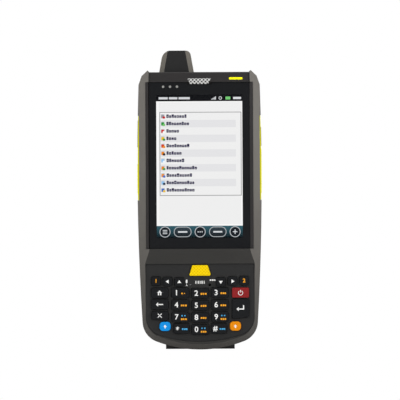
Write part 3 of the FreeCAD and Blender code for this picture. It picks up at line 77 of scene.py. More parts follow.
class TERMINAL_PG_studio(bpy.types.PropertyGroup):
    distance: length_setting("Camera distance", "Camera in front of the display", 0.77)
    view_width: length_setting("View width", "Width of the view at the display", 0.2306)
    view_height: length_setting("View height", "Height of the view's centre above the foot", 0.0866)
    view_side: length_setting("View side", "View's centre beside the middle", 0.0002)
    roll: bpy.props.FloatProperty(
        name="Roll", description="Turn of the camera about its axis", default=math.radians(0.28),
        subtype="ANGLE")
    surround_light: bpy.props.FloatProperty(
        name="Surround light", description="Strength of the even light from all sides", default=0.31)


class TERMINAL_PG_screen(bpy.types.PropertyGroup):
    half_width: length_setting("Half width", "Half width of the lit picture", 0.02485)
    base: length_setting("Base", "Lower edge of the lit picture above the foot", 0.0647)
    top: length_setting("Top", "Upper edge of the lit picture above the foot", 0.1474)
    layer: length_setting("Layer", "Step between the layers of the picture", 0.00001)
    gap: length_setting("Gap", "Space between the lens and the picture", 0.0001)
    rows: bpy.props.IntProperty(name="Rows", description="Rows in the list", default=11)
    row_pitch: length_setting("Row pitch", "Distance between two rows of the list", 0.00426)


class TERMINAL_PG_colours(bpy.types.PropertyGroup):
    housing: colour_setting("Housing", "Plastic of the front housing", 50, 49, 47)
    # Painted highlight: the lighter colour painted on the front housing's side bevels, standing in for light
    # on their slope.
    rail_highlight: colour_setting("Rail highlight", "Lighter bevel along the front housing's sides", 131, 127, 121)
    rear: colour_setting("Rear housing", "Plastic of the rear housing and the battery door", 46, 45, 44)
    panel: colour_setting("Keypad panel", "Plate around the keys", 38, 38, 38)
    trim: colour_setting("Trim", "Side trims and triggers", 255, 250, 4)
    scan_key: colour_setting("Scan key", "Large key under the display", 240, 204, 0)
    black_keys: colour_setting("Black keys", "Digits and signs", 26, 27, 29)
    power_key: colour_setting("Power key", "Red key", 136, 34, 36)
    function_key: colour_setting("Function key", "Blue shift key", 16, 142, 222)
    alpha_key: colour_setting("Alpha key", "Orange shift key", 228, 138, 8)


class TERMINAL_PG_legends(bpy.types.PropertyGroup):
    digit_size: length_setting("Digit size", "Height setting of the digits", 0.0043)
    mark_lift: length_setting("Lift", "Ink on top of a key", 0.00002)


# Small tools


def select_only(item):
    bpy.ops.object.select_all(action="DESELECT")
    item.select_set(True)
    bpy.context.view_layer.objects.active = item


def settle(item):
    """Leave a piece at the origin, unrotated and unscaled."""
    select_only(item)
    bpy.ops.object.transform_apply(location=True, rotation=True, scale=True)
    return item


def join(items, name):
    """Make one piece of several."""
    if not items:
        raise RuntimeError(f"nothing to join for {name}")
    bpy.ops.object.select_all(action="DESELECT")
    for item in items:
        item.select_set(True)
    bpy.context.view_layer.objects.active = items[0]
    if len(items) > 1:
        bpy.ops.object.join()
    items[0].name = name
    return items[0]


def place_piece(item, body, material=None):
    """Say which body a piece rides on, and what it is made of."""
    if material:
        item.data.materials.clear()
        item.data.materials.append(material)
    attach(item, body)
    return item


def copied(item, step):
    """A copy of a piece, with its own mesh, moved by a step."""
    select_only(item)
    bpy.ops.object.duplicate()
    made = bpy.context.object
    made.location = step
    return settle(made)


def edited(item, change, **values):
    """Change a piece's whole mesh in edit mode."""
    select_only(item)
    bpy.ops.object.mode_set(mode="EDIT")
    bpy.ops.mesh.select_all(action="SELECT")
    change(**values)
    bpy.ops.object.mode_set(mode="OBJECT")
    return item


def turn_over(item):
    """Make a flat piece face the other way."""
    return edited(item, bpy.ops.mesh.flip_normals)


def plate(left, right, low, high, front, rounding=0.0):
    """A flat rectangle that faces the camera side, with round corners if asked."""
    centre = ((left + right) / 2, front, (low + high) / 2)
    bpy.ops.mesh.primitive_plane_add(size=1, location=centre, rotation=FACING)
    item = bpy.context.object
    item.scale = (right - left, high - low, 1)
    settle(item)
    if rounding:
        edited(item, bpy.ops.mesh.bevel, offset=rounding, segments=6, affect="VERTICES")
    return item


def disc(across, up, radius, front, sides=32):
    """A flat disc that faces the camera side."""
    bpy.ops.mesh.primitive_circle_add(
        vertices=sides, radius=radius, fill_type="NGON", location=(across, front, up), rotation=FACING)
    return settle(bpy.context.object)


def shape(points, front):
    """A flat outline that faces the camera side, from points across and up."""
    bpy.ops.mesh.primitive_circle_add(vertices=len(points), radius=1, fill_type="NGON")
    item = bpy.context.object
    for vertex, point in zip(item.data.vertices, points):
        vertex.co = Vector((point[0], front, point[1]))
    item.data.update()
    return turn_over(item) if item.data.polygons[0].normal.y > 0 else item


LETTER_WEIGHT = 0.022


def label(text, across, up, size, front):
    """A printed figure or sign, as a mesh."""
    bpy.ops.object.select_all(action="DESELECT")
    bpy.ops.object.text_add(location=(across, front, up), rotation=FACING)
    item = bpy.context.object
    item.data.body = text
    item.data.size = size
    item.data.align_x = "CENTER"
    item.data.align_y = "CENTER"
    item.data.offset = size * LETTER_WEIGHT
    bpy.ops.object.convert(target="MESH")
    return settle(bpy.context.object)


# Shader groups: each gives only colours, masks, heights or normals


def new_group(name, inputs, outputs):
    """A shader node group with its sockets."""
    group = bpy.data.node_groups.new(name, "ShaderNodeTree")
    for socket, kind, default in inputs:
        made = group.interface.new_socket(name=socket, in_out="INPUT", socket_type="NodeSocket" + kind)
        if default is not None:
            made.default_value = default
    for socket, kind in outputs:
        group.interface.new_socket(name=socket, in_out="OUTPUT", socket_type="NodeSocket" + kind)
    start = group.nodes.new("NodeGroupInput")
    end = group.nodes.new("NodeGroupOutput")
    return group, start, end


def feed(tree, target, *sources, **named):
    """Give a node's inputs their values or their links, by place or by name."""
    named = {name.replace("_", " "): source for name, source in named.items()}
    for name, source in [*enumerate(sources), *named.items()]:
        if isinstance(source, bpy.types.NodeSocket):
            tree.links.new(source, target.inputs[name])
        elif source is not None:
            target.inputs[name].default_value = source


def node(tree, kind, *sources, **settings):
    """A shader node with its settings and inputs. Settings have small letters."""
    made = tree.nodes.new("ShaderNode" + kind)
    for name, value in settings.items():
        if name[0].islower():
            setattr(made, name, value)
        else:
            feed(tree, made, **{name: value})
    feed(tree, made, *sources)
    return made


def ramp(tree, source, low, high, start=0.0, end=1.0):
    """Map a value between two limits."""
    return node(tree, "MapRange", source, low, high, start, end, clamp=True).outputs[0]


def maths(tree, operation, first, second=None):
    """A sum, product or other simple operation."""
    return node(tree, "Math", first, second, operation=operation).outputs[0]


FIRST_COLOUR = 6


def blend_colours(tree, share, first, second):
    """Mix two colours by a mask."""
    made = node(tree, "Mix", share, data_type="RGBA")
    feed(tree, made, *[None] * FIRST_COLOUR, first, second)
    return made.outputs[2]


def coordinates(tree):
    return node(tree, "TexCoord").outputs["Object"]


def edge_group():
    """Rounded-edge normal and a mask of worn edges."""
    group, start, end = new_group(
        "Rounded edges", [("Radius", "Float", 0.0003)], [("Normal", "Vector"), ("Edge", "Float")])
    bevelled = node(group, "Bevel", samples=4, Radius=start.outputs["Radius"]).outputs["Normal"]
    plain = node(group, "NewGeometry").outputs["Normal"]
    dot = node(group, "VectorMath", bevelled, plain, operation="DOT_PRODUCT")
    feed(group, end, Normal=bevelled, Edge=ramp(group, dot.outputs["Value"], 0.995, 0.86))
    return group


def grain_group():
    """Fine moulded texture, as a height."""
    group, start, end = new_group(
        "Moulded grain", [("Vector", "Vector", None), ("Scale", "Float", 2600.0)], [("Height", "Float")])
    place = {"Vector": start.outputs["Vector"], "Scale": start.outputs["Scale"]}
    cells = node(group, "TexVoronoi", feature="SMOOTH_F1", **place).outputs["Distance"]
    noise = node(group, "TexNoise", Detail=3.0, Roughness=0.6, **place).outputs[0]
    feed(group, end, Height=maths(group, "ADD", cells, noise))
    return group


def dust_group():
    """Cloudy handling marks and a thin film of dust."""
    group, start, end = new_group(
        "Handling marks", [("Vector", "Vector", None), ("Scale", "Float", 60.0)],
        [("Cloud", "Float"), ("Dust", "Float"), ("Scratch", "Float")])
    where = start.outputs["Vector"]
    cloud = node(group, "TexNoise", Vector=where, Scale=start.outputs["Scale"], Detail=4.0, Roughness=0.55,
                 Distortion=0.3)
    fine = node(group, "TexNoise", Vector=where, Scale=1800.0, Detail=2.0)
    stretch = node(group, "Mapping", Vector=where, Scale=(900.0, 900.0, 25.0), Rotation=(0.3, 0.5, 0.2))
    lines = node(group, "TexNoise", Vector=stretch.outputs["Vector"], Scale=1.0, Detail=2.0)
    feed(group, end, Cloud=ramp(group, cloud.outputs[0], 0.3, 0.7),
         Dust=ramp(group, fine.outputs[0], 0.62, 0.72), Scratch=ramp(group, lines.outputs[0], 0.7, 0.78))
    return group


def slope_group():
    """Mask of the surfaces that slope between the front and the sides, which carry the painted highlights."""
    group, start, end = new_group("Sloping faces", [], [("Mask", "Float")])
    back = node(group, "SeparateXYZ", node(group, "NewGeometry").outputs["Normal"]).outputs["Y"]
    from_front = ramp(group, back, -0.9, -0.78)
    from_side = ramp(group, back, -0.12, -0.28)
    feed(group, end, Mask=maths(group, "MULTIPLY", from_front, from_side))
    return group


def wave_group():
    """Waves across and up, multiplied, for dots in rows or a weave."""
    group, start, end = new_group(
        "Crossed waves", [("Vector", "Vector", None), ("Period", "Float", 0.002)], [("Wave", "Float")])
    split = node(group, "SeparateXYZ", start.outputs["Vector"])
    turn = maths(group, "DIVIDE", 2 * math.pi, start.outputs["Period"])
    waves = [maths(group, "SINE", maths(group, "MULTIPLY", split.outputs[axis], turn)) for axis in ("X", "Z")]
    feed(group, end, Wave=maths(group, "MULTIPLY", *waves))
    return group


GROUPS = {}


def make_groups():
    GROUPS["edge"] = edge_group()
    GROUPS["grain"] = grain_group()
    GROUPS["dust"] = dust_group()
    GROUPS["slope"] = slope_group()
    GROUPS["waves"] = wave_group()


def use_group(tree, name, vector=None, **values):
    """Place a shader group in a material, with its own values."""
    made = node(tree, "Group", node_tree=GROUPS[name])
    feed(tree, made, **values)
    if vector:
        feed(tree, made, Vector=vector)
    return made


def start_material(name):
    """A material with only its shader and output."""
    material = bpy.data.materials.new(name)
    material.use_nodes = True
    tree = material.node_tree
    shader = tree.nodes["Principled BSDF"]
    return material, tree, shader


def plastic(name, colour, rough, grain=2600.0, depth=0.000012, edge=0.0003, wear=0.25, coat=0.0,
            tint=None, shine=0.2):
    """Moulded plastic or rubber: grain, cloudy handling marks, dust and lighter worn edges.

    tint is a second colour with the function that makes its mask from the tree: a painted highlight on the
    front housing's and antenna cap's sloping edges, and the real dots of the scan key.
    """
    colour = tuple(colour)
    material, tree, shader = start_material(name)
    where = coordinates(tree)
    edges = use_group(tree, "edge", Radius=edge)
    moulded = use_group(tree, "grain", where, Scale=grain)
    marks = use_group(tree, "dust", where)
    base = colour
    # With a tint, the base colour gets a painted highlight on the front housing and antenna cap, and its real
    # dots on the scan key.
    if tint:
        base = blend_colours(tree, tint[1](tree), colour, tuple(tint[0]))
    darker = node(tree, "HueSaturation", Value=0.9, Color=base)
    clouded = blend_colours(tree, marks.outputs["Cloud"], base, darker.outputs["Color"])
    lighter = tuple(min(1.0, part * 1.6 + 0.02) for part in colour[:3]) + (1.0,)
    edge_share = maths(tree, "MULTIPLY", edges.outputs["Edge"], wear)
    dust_share = maths(tree, "MULTIPLY", marks.outputs["Dust"], 0.05)
    worn_colour = blend_colours(tree, maths(tree, "ADD", edge_share, dust_share), clouded, lighter)
    bump = node(tree, "Bump", Strength=0.5, Distance=depth, Height=moulded.outputs["Height"],
                Normal=edges.outputs["Normal"])
    feed(tree, shader, Base_Color=worn_colour, Normal=bump.outputs["Normal"], Specular_IOR_Level=shine,
         Roughness=ramp(tree, marks.outputs["Cloud"], 0.0, 1.0, rough - 0.05, rough + 0.05),
         Coat_Weight=coat, Coat_Roughness=0.25)
    return material


FINE_EDGE = 0.2 * MM


def metal(name, colour, rough):
    """Turned or stamped metal with fine lines."""
    material, tree, shader = start_material(name)
    where = coordinates(tree)
    edges = use_group(tree, "edge", Radius=FINE_EDGE)
    marks = use_group(tree, "dust", where)
    shade = node(tree, "HueSaturation", Value=0.75, Color=colour)
    feed(tree, shader, Base_Color=blend_colours(tree, marks.outputs["Cloud"], colour, shade.outputs["Color"]),
         Roughness=ramp(tree, marks.outputs["Scratch"], 0.0, 1.0, rough, rough + 0.2),
         Metallic=1.0, Normal=edges.outputs["Normal"])
    return material


# Limits of the painted highlight on the side bevels: painted shade at the bevel's outer edge, in the trim's
# shadow, and less highlight towards the foot, as painted shade from light falling from above.
BEVEL_BACK = -8.9 * MM
BEVEL_FRONT = -10.2 * MM
HIGHLIGHT_FULL_HEIGHT = 110.0 * MM
HIGHLIGHT_AT_FOOT = 0.28


def sloping_faces(tree):
    """Mask of the surfaces that slope between the front and the sides, which carry the painted highlights."""
    return use_group(tree, "slope").outputs["Mask"]


def painted_bevel_highlight(tree):
    """Mask of the painted highlight on the front bevel: painted shade at its outer edge, in the trim's
    shadow, and painted shade towards the foot, as light falls from above.
    """
    where = node(tree, "SeparateXYZ", coordinates(tree))
    # Painted shade: no highlight at the bevel's outer edge, where the trim casts its shadow.
    clear_of_trim_shadow = ramp(tree, where.outputs["Y"], BEVEL_BACK, BEVEL_FRONT)
    # Painted shade: less highlight towards the foot, as light falls from above.
    highlight_by_height = ramp(tree, where.outputs["Z"], 0.0, HIGHLIGHT_FULL_HEIGHT, HIGHLIGHT_AT_FOOT, 1.0)
    return maths(tree, "MULTIPLY", maths(tree, "MULTIPLY", sloping_faces(tree), clear_of_trim_shadow), highlight_by_height)


DOT_PERIOD = 1.8 * MM
MESH_PERIOD = 2.1 * MM
PANEL_DOT = 0.1035 * MM


def dotted(tree):
    """Mask of small dots in rows, as on a gripping surface."""
    waves = use_group(tree, "waves", coordinates(tree), Period=DOT_PERIOD)
    return ramp(tree, waves.outputs["Wave"], 0.25, 0.75)


def lens_material():
    """Black-printed glass with a clear window over the picture."""
    screen = bpy.context.scene.terminal_screen
    material, tree, shader = start_material("Display lens")
    where = coordinates(tree)
    split = node(tree, "SeparateXYZ", where)
    marks = use_group(tree, "dust", where)
    edges = use_group(tree, "edge", Radius=FINE_EDGE)
    feed(tree, shader, Base_Color=paint(22, 23, 25), Specular_IOR_Level=0.22, Normal=edges.outputs["Normal"],
         Roughness=ramp(tree, marks.outputs["Cloud"], 0.0, 1.0, 0.06, 0.14))
    soft = 0.04 * MM
    across = maths(tree, "ABSOLUTE", split.outputs["X"])
    inside = ramp(tree, across, screen.half_width + soft, screen.half_width - soft)
    above = ramp(tree, split.outputs["Z"], screen.base - soft, screen.base + soft)
    below = ramp(tree, split.outputs["Z"], screen.top + soft, screen.top - soft)
    clear_share = maths(tree, "MULTIPLY", maths(tree, "MULTIPLY", inside, above), below)
    clear = node(tree, "BsdfTransparent").outputs[0]
    gloss = node(tree, "BsdfGlossy", Roughness=0.08).outputs[0]
    window = node(tree, "MixShader", node(tree, "Fresnel", IOR=1.25).outputs[0], clear, gloss).outputs[0]
    both = node(tree, "MixShader", clear_share, shader.outputs[0], window).outputs[0]
    feed(tree, tree.nodes["Material Output"], Surface=both)
    return material


def picture_material(name, colour, second=None):
    """Part of the lit picture: a plain light with the fine lines of the panel."""
    material, tree, shader = start_material(name)
    up = node(tree, "SeparateXYZ", coordinates(tree)).outputs["Z"]
    base = colour
    if second:
        screen = bpy.context.scene.terminal_screen
        share = ramp(tree, up, screen.base + 0.1 * MM, screen.base + 6.6 * MM)
        base = blend_colours(tree, share, colour, second)
    lines = maths(tree, "SINE", maths(tree, "MULTIPLY", up, 2 * math.pi / PANEL_DOT))
    dimmer = node(tree, "HueSaturation", Value=0.94, Color=base)
    lit = blend_colours(tree, ramp(tree, lines, -1.0, 1.0), base, dimmer.outputs["Color"])
    feed(tree, shader, Base_Color=(0.0, 0.0, 0.0, 1.0), Specular_IOR_Level=0.0, Emission_Color=lit,
         Emission_Strength=1.0)
    return material


def mesh_material():
    """Fine woven metal over the earpiece."""
    material, tree, shader = start_material("Earpiece mesh")
    waves = use_group(tree, "waves", coordinates(tree), Period=MESH_PERIOD)
    weave = ramp(tree, waves.outputs["Wave"], -0.1, 0.35)
    woven = blend_colours(tree, weave, paint(204, 204, 202), paint(36, 35, 34))
    bump = node(tree, "Bump", Strength=0.7, Distance=0.08 * MM, Height=weave)
    feed(tree, shader, Base_Color=woven, Metallic=0.3, Roughness=0.38, Normal=bump.outputs["Normal"])
    return material


def make_materials():
    """Every material, by a short name."""
    make_groups()
    colours = bpy.context.scene.terminal_colours
    # Painted highlight: the front housing's side bevels are painted lighter, as if lit, with painted shade at
    # their outer edge and towards the foot.
    rail_highlight = (colours.rail_highlight, painted_bevel_highlight)
    # Painted highlight: the antenna cap's rounded sloping edges are painted lighter, as if lit.
    antenna_highlight = (paint(112, 108, 101), sloping_faces)
    dots = (paint(206, 170, 0), dotted)
    return {
        "front": plastic("Front housing", colours.housing, 0.5, tint=rail_highlight, wear=0.3),
        "rear": plastic("Rear housing", colours.rear, 0.55, wear=0.3),
        "bezel": plastic("Display bezel", paint(44, 42, 42), 0.42, wear=0.35),
        "panel": plastic("Keypad panel", colours.panel, 0.5, wear=0.3),
        "antenna": plastic("Antenna cap", paint(36, 36, 36), 0.4, wear=0.3, tint=antenna_highlight),
        "yellow": plastic("Yellow trim", colours.trim, 0.5, wear=0.1),
        "scan": plastic("Scan key", colours.scan_key, 0.42, wear=0.1, tint=dots, shine=0.1),
        "black key": plastic("Black key", colours.black_keys, 0.32, grain=3200.0, depth=0.000006,
                             edge=0.0005, wear=0.2, coat=0.02, shine=0.08),
        "red key": plastic("Red key", colours.power_key, 0.34, edge=0.0005, wear=0.2, shine=0.1),
        "blue key": plastic("Blue key", colours.function_key, 0.34, edge=0.0005, wear=0.2, shine=0.1),
        "orange key": plastic("Orange key", colours.alpha_key, 0.34, edge=0.0005, wear=0.2, shine=0.1),
        "button": plastic("Side button", paint(48, 47, 46), 0.45, wear=0.3),
        "rubber": plastic("Cover rubber", paint(30, 30, 30), 0.7, grain=1800.0, depth=0.00002, wear=0.3),
        "mat": plastic("Keypad mat", paint(70, 70, 72), 0.6),
        "board": plastic("Solder mask", paint(20, 84, 48), 0.35, coat=0.2),
        "inner": plastic("Inner plastic", paint(38, 38, 39), 0.5),
        "battery": plastic("Battery wrap", paint(36, 37, 39), 0.45),
        "light": plastic("Light pipe", paint(146, 146, 142), 0.35, wear=0.1),
        "frame": metal("Stamped metal", paint(190, 190, 192), 0.35),
        "steel": metal("Screw steel", paint(150, 150, 152), 0.3),
        "gold": metal("Gold contacts", paint(214, 176, 92), 0.25),
        "lens": lens_material(),
        "camera glass": plastic("Camera glass", paint(12, 13, 17), 0.08, depth=0.000002, wear=0.02,
                                coat=0.6, shine=0.6),
        "mesh": mesh_material(),
        "white ink": plastic("White ink", paint(236, 236, 234), 0.5, depth=0.000004, wear=0.1),
        "orange ink": plastic("Orange ink", paint(245, 166, 35), 0.5, depth=0.000004, wear=0.1),
        "blue ink": plastic("Blue ink", paint(74, 168, 220), 0.5, depth=0.000004, wear=0.1),
        "dark ink": plastic("Dark ink", paint(24, 24, 26), 0.5, depth=0.000004, wear=0.1),
        "label": plastic("Battery label", paint(150, 152, 156), 0.4, depth=0.000004),
        "grey": plastic("Backlight frame", paint(60, 62, 66), 0.5),
    }


NODE_MATERIALS = {
    "front_housing": "front", "rear_housing": "rear", "display_bezel": "bezel", "touch_panel": "lens",
    "lcd_module": "grey", "earpiece_grille": "mesh", "earpiece": "inner", "status_lights": "light",
    "keypad_bezel": "panel", "keypad_mat": "mat", "keypad_board": "board", "microphone": "frame",
    "inner_frame": "frame", "main_board": "board", "scan_engine": "inner", "scan_window": "lens",
    "antenna_cap": "antenna", "antenna_element": "gold", "battery_pack": "battery", "battery_door": "rear",
    "door_latch": "button", "door_hinge_pin": "steel", "side_trim_left": "yellow",
    "side_trim_right": "yellow",
    "left_trigger": "yellow", "right_trigger": "yellow", "function_key": "button", "volume_rocker": "button",
    "port_cover": "rubber", "side_port": "frame", "dock_connector": "inner", "camera_module": "inner",
    "rear_speaker": "inner", "housing_screws": "steel", "key_scan": "scan", "key_power": "red key",
    "key_function": "blue key", "key_alpha": "orange key",
}

MATERIALS = {}


class TERMINAL_OT_finishes(bpy.types.Operator):
    """Give every part of the model its material"""
    bl_idname = "terminal.finishes"
    bl_label = "Finishes"

    def execute(self, context):
        MATERIALS.update(make_materials())
        for name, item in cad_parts.items():
            material = MATERIALS[NODE_MATERIALS.get(name, "black key")]
            if item.material_slots:
                for slot in item.material_slots:
                    slot.material = material
            else:
                item.data.materials.append(material)
        return {"FINISHED"}


# The lit picture: a plain list on a light page, all of it made up


PAGE = (252, 252, 252)
CARD = (243, 243, 243)
CARD_EDGE = (130, 130, 132)
ODD_ROW = (232, 232, 234)
ROW_INK = (26, 20, 64)
ICON_PAGE = (206, 208, 214)
BAR = (18, 19, 22)
BAR_WORD = (214, 216, 220)
BAR_SIGN = (224, 226, 230)
BATTERY_GREEN = (120, 206, 120)
LOW_SIGN = (220, 224, 228)
LIST_LENGTHS = (
    11.58765, 13.31715, 7.20625, 6.4568, 13.66305, 9.28165, 10.8382, 17.5256, 14.93135, 16.4879, 15.6808,
)
FIRST_ROW = 12.4
WORD_WIDTHS = (1.35, 1.2, 1.3, 1.1)
WORD_HOLES = (((200, 200, 208), (190, 190, 200)), ((150, 150, 170), (140, 140, 160)))
ICON_COLOURS = (
    ((150, 150, 156), (200, 40, 40)), ((40, 150, 60), (120, 200, 110)), ((206, 38, 38), (250, 250, 250)),
    ((240, 196, 40), (60, 150, 70)), ((214, 60, 40), (240, 150, 40)), ((236, 140, 30), (40, 40, 44)),
    ((150, 200, 240), (240, 246, 250)), ((236, 140, 40), (70, 160, 80)), ((236, 150, 50), (60, 110, 200)),
    ((150, 200, 240), (50, 60, 80)), ((60, 110, 200), (240, 200, 50)),
)


class TERMINAL_OT_screen(bpy.types.Operator):
    """Build the lit picture behind the lens"""
    bl_idname = "terminal.screen"
    bl_label = "Display picture"

    def execute(self, context):
        self.screen = context.scene.terminal_screen
        self.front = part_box("touch_panel")[1][1] - self.screen.gap
        self.groups = {}
        self.page()
        self.status_bar()
        self.list_rows()
        self.bottom_bar()
        pieces = []
        for (colour, second), items in self.groups.items():
            other = paint(*second) if second else None
            material = picture_material(f"Picture {len(pieces)}", paint(*colour), other)
            for item in items:
                item.data.materials.clear()
                item.data.materials.append(material)
            pieces.append(join(items, f"picture_part_{len(pieces)}"))
        place_piece(join(pieces, "display_picture"), "terminal")
        return {"FINISHED"}

    def add(self, colour, item, second=None):
        self.groups.setdefault((colour, second), []).append(item)

    def rect(self, colour, left, right, low, high, layer, rounding=0.0, second=None):
        """A rectangle measured in millimetres from the middle and from the picture's top."""
        top = self.screen.top
        front = self.front - layer * self.screen.layer
        item = plate(left * MM, right * MM, top - high * MM, top - low * MM, front, rounding * MM)
        self.add(colour, item, second)

    def circle(self, colour, across, down, radius, layer):
        front = self.front - layer * self.screen.layer
        self.add(colour, disc(across * MM, self.screen.top - down * MM, radius * MM, front))

    def page(self):
        half = self.screen.half_width / MM
        height = (self.screen.top - self.screen.base) / MM
        self.rect(PAGE, -half, half, 0.0, height, 0)
        self.rect(CARD, -23.4, 24.1, 4.3, 74.7, 1)
        self.rect(CARD_EDGE, -23.0, 24.3, 9.9, 58.3, 2)
        self.rect(CARD, -22.65, 23.95, 10.25, 57.95, 3)

    def status_bar(self):
        half = self.screen.half_width / MM
        self.rect(BAR, -half, half, 0.0, 3.7, 6)
        for left, right in ((-23.4, -18.2), (-17.5, -12.6), (-11.9, -5.4)):
            self.rect(BAR_WORD, left, right, 1.3, 2.6, 7)
        for step in range(4):
            left = 7.0 + step * 0.72
            self.rect(BAR_SIGN, left, left + 0.5, 2.8 - 0.45 * (step + 1), 2.8, 7)
        self.circle(BAR_SIGN, 12.2, 1.9, 0.95, 7)
        self.circle(BAR, 12.2, 1.9, 0.6, 8)
        self.rect(BATTERY_GREEN, 15.2, 18.0, 1.1, 2.8, 7, rounding=0.2)
        self.rect(BAR_SIGN, 19.6, 24.2, 1.3, 2.6, 7)

    def list_rows(self):
        pitch = self.screen.row_pitch / MM
        for row in range(self.screen.rows):
            middle = FIRST_ROW + row * pitch
            if row % 2:
                self.rect(ODD_ROW, -22.6, 21.1, middle - pitch / 2, middle + pitch / 2, 4)
            main, mark = ICON_COLOURS[row % len(ICON_COLOURS)]
            self.rect(ICON_PAGE, -22.25, -20.0, middle - 1.3, middle + 1.1, 5, rounding=0.3)
            self.rect(main, -22.0, -20.3, middle - 0.9, middle + 1.1, 6, rounding=0.5)
            self.rect(mark, -21.2, -19.7, middle, middle + 1.3, 7, rounding=0.5)
            self.row_blocks(row, middle, -19.0, LIST_LENGTHS[row % len(LIST_LENGTHS)])

    def row_blocks(self, row, middle, left, length):
        """A row of plain blocks, each with a hole, where a list would have its words."""
        end = left + length - 0.6
        sign = 0
        while left < end:
            width = WORD_WIDTHS[(row + sign) % 4]
            tall = 1.1 if sign == 0 or (row + sign) % 5 == 2 else 0.62
            self.rect(ROW_INK, left, left + width, middle - tall, middle + 0.85, 6, rounding=0.2)
            down = middle - 0.05 + 0.25 * ((row * 3 + sign) % 3 - 1)
            hole = WORD_HOLES[(row + sign) % 2][row % 2]
            self.rect(hole, left + 0.42, left + width - 0.4, down, down + 0.42, 7)
            left += width + 0.24
            sign += 1

    def bottom_bar(self):
        half = self.screen.half_width / MM
        height = (self.screen.top - self.screen.base) / MM
        self.rect((10, 14, 18), -half, half, height - 7.0, height, 6, second=(52, 92, 104))
        down = height - 3.5
        for across in (-20.1, 0.2, 20.4):
            self.circle((196, 200, 204), across, down, 3.15, 7)
            self.circle((24, 30, 36), across, down, 2.75, 8)
        for left, right in ((-15.0, -4.8), (5.4, 15.4)):
            self.rect((180, 186, 190), left, right, down - 3.0, down + 3.0, 7, rounding=2.9)
            self.rect((12, 16, 20), left + 0.4, right - 0.4, down - 2.6, down + 2.6, 8, rounding=2.5,
                      second=(58, 70, 78))
            self.rect((216, 220, 224), left + 2.4, right - 2.4, down - 0.45, down + 0.45, 9, rounding=0.1)
        for step in (-1, 0, 1):
            self.rect(LOW_SIGN, -21.4, -18.8, down + step * 0.95 - 0.2, down + step * 0.95 + 0.2, 9)
            self.circle(LOW_SIGN, 0.2 + step * 1.15, down, 0.36, 9)
        self.rect(LOW_SIGN, 19.1, 21.7, down - 0.25, down + 0.25, 9)
        self.rect(LOW_SIGN, 20.15, 20.65, down - 1.3, down + 1.3, 9)


# Key legends


DIGITS = {
    "key_digit_1": "1", "key_digit_2": "2", "key_digit_3": "3", "key_digit_4": "4", "key_digit_5": "5",
    "key_digit_6": "6", "key_digit_7": "7", "key_digit_8": "8", "key_digit_9": "9", "key_digit_0": "0",
    "key_star": "*", "key_hash": "#",
}
ARROWS = {"key_left": (-1, 0), "key_right": (1, 0), "key_up": (0, 1), "key_down": (0, -1)}


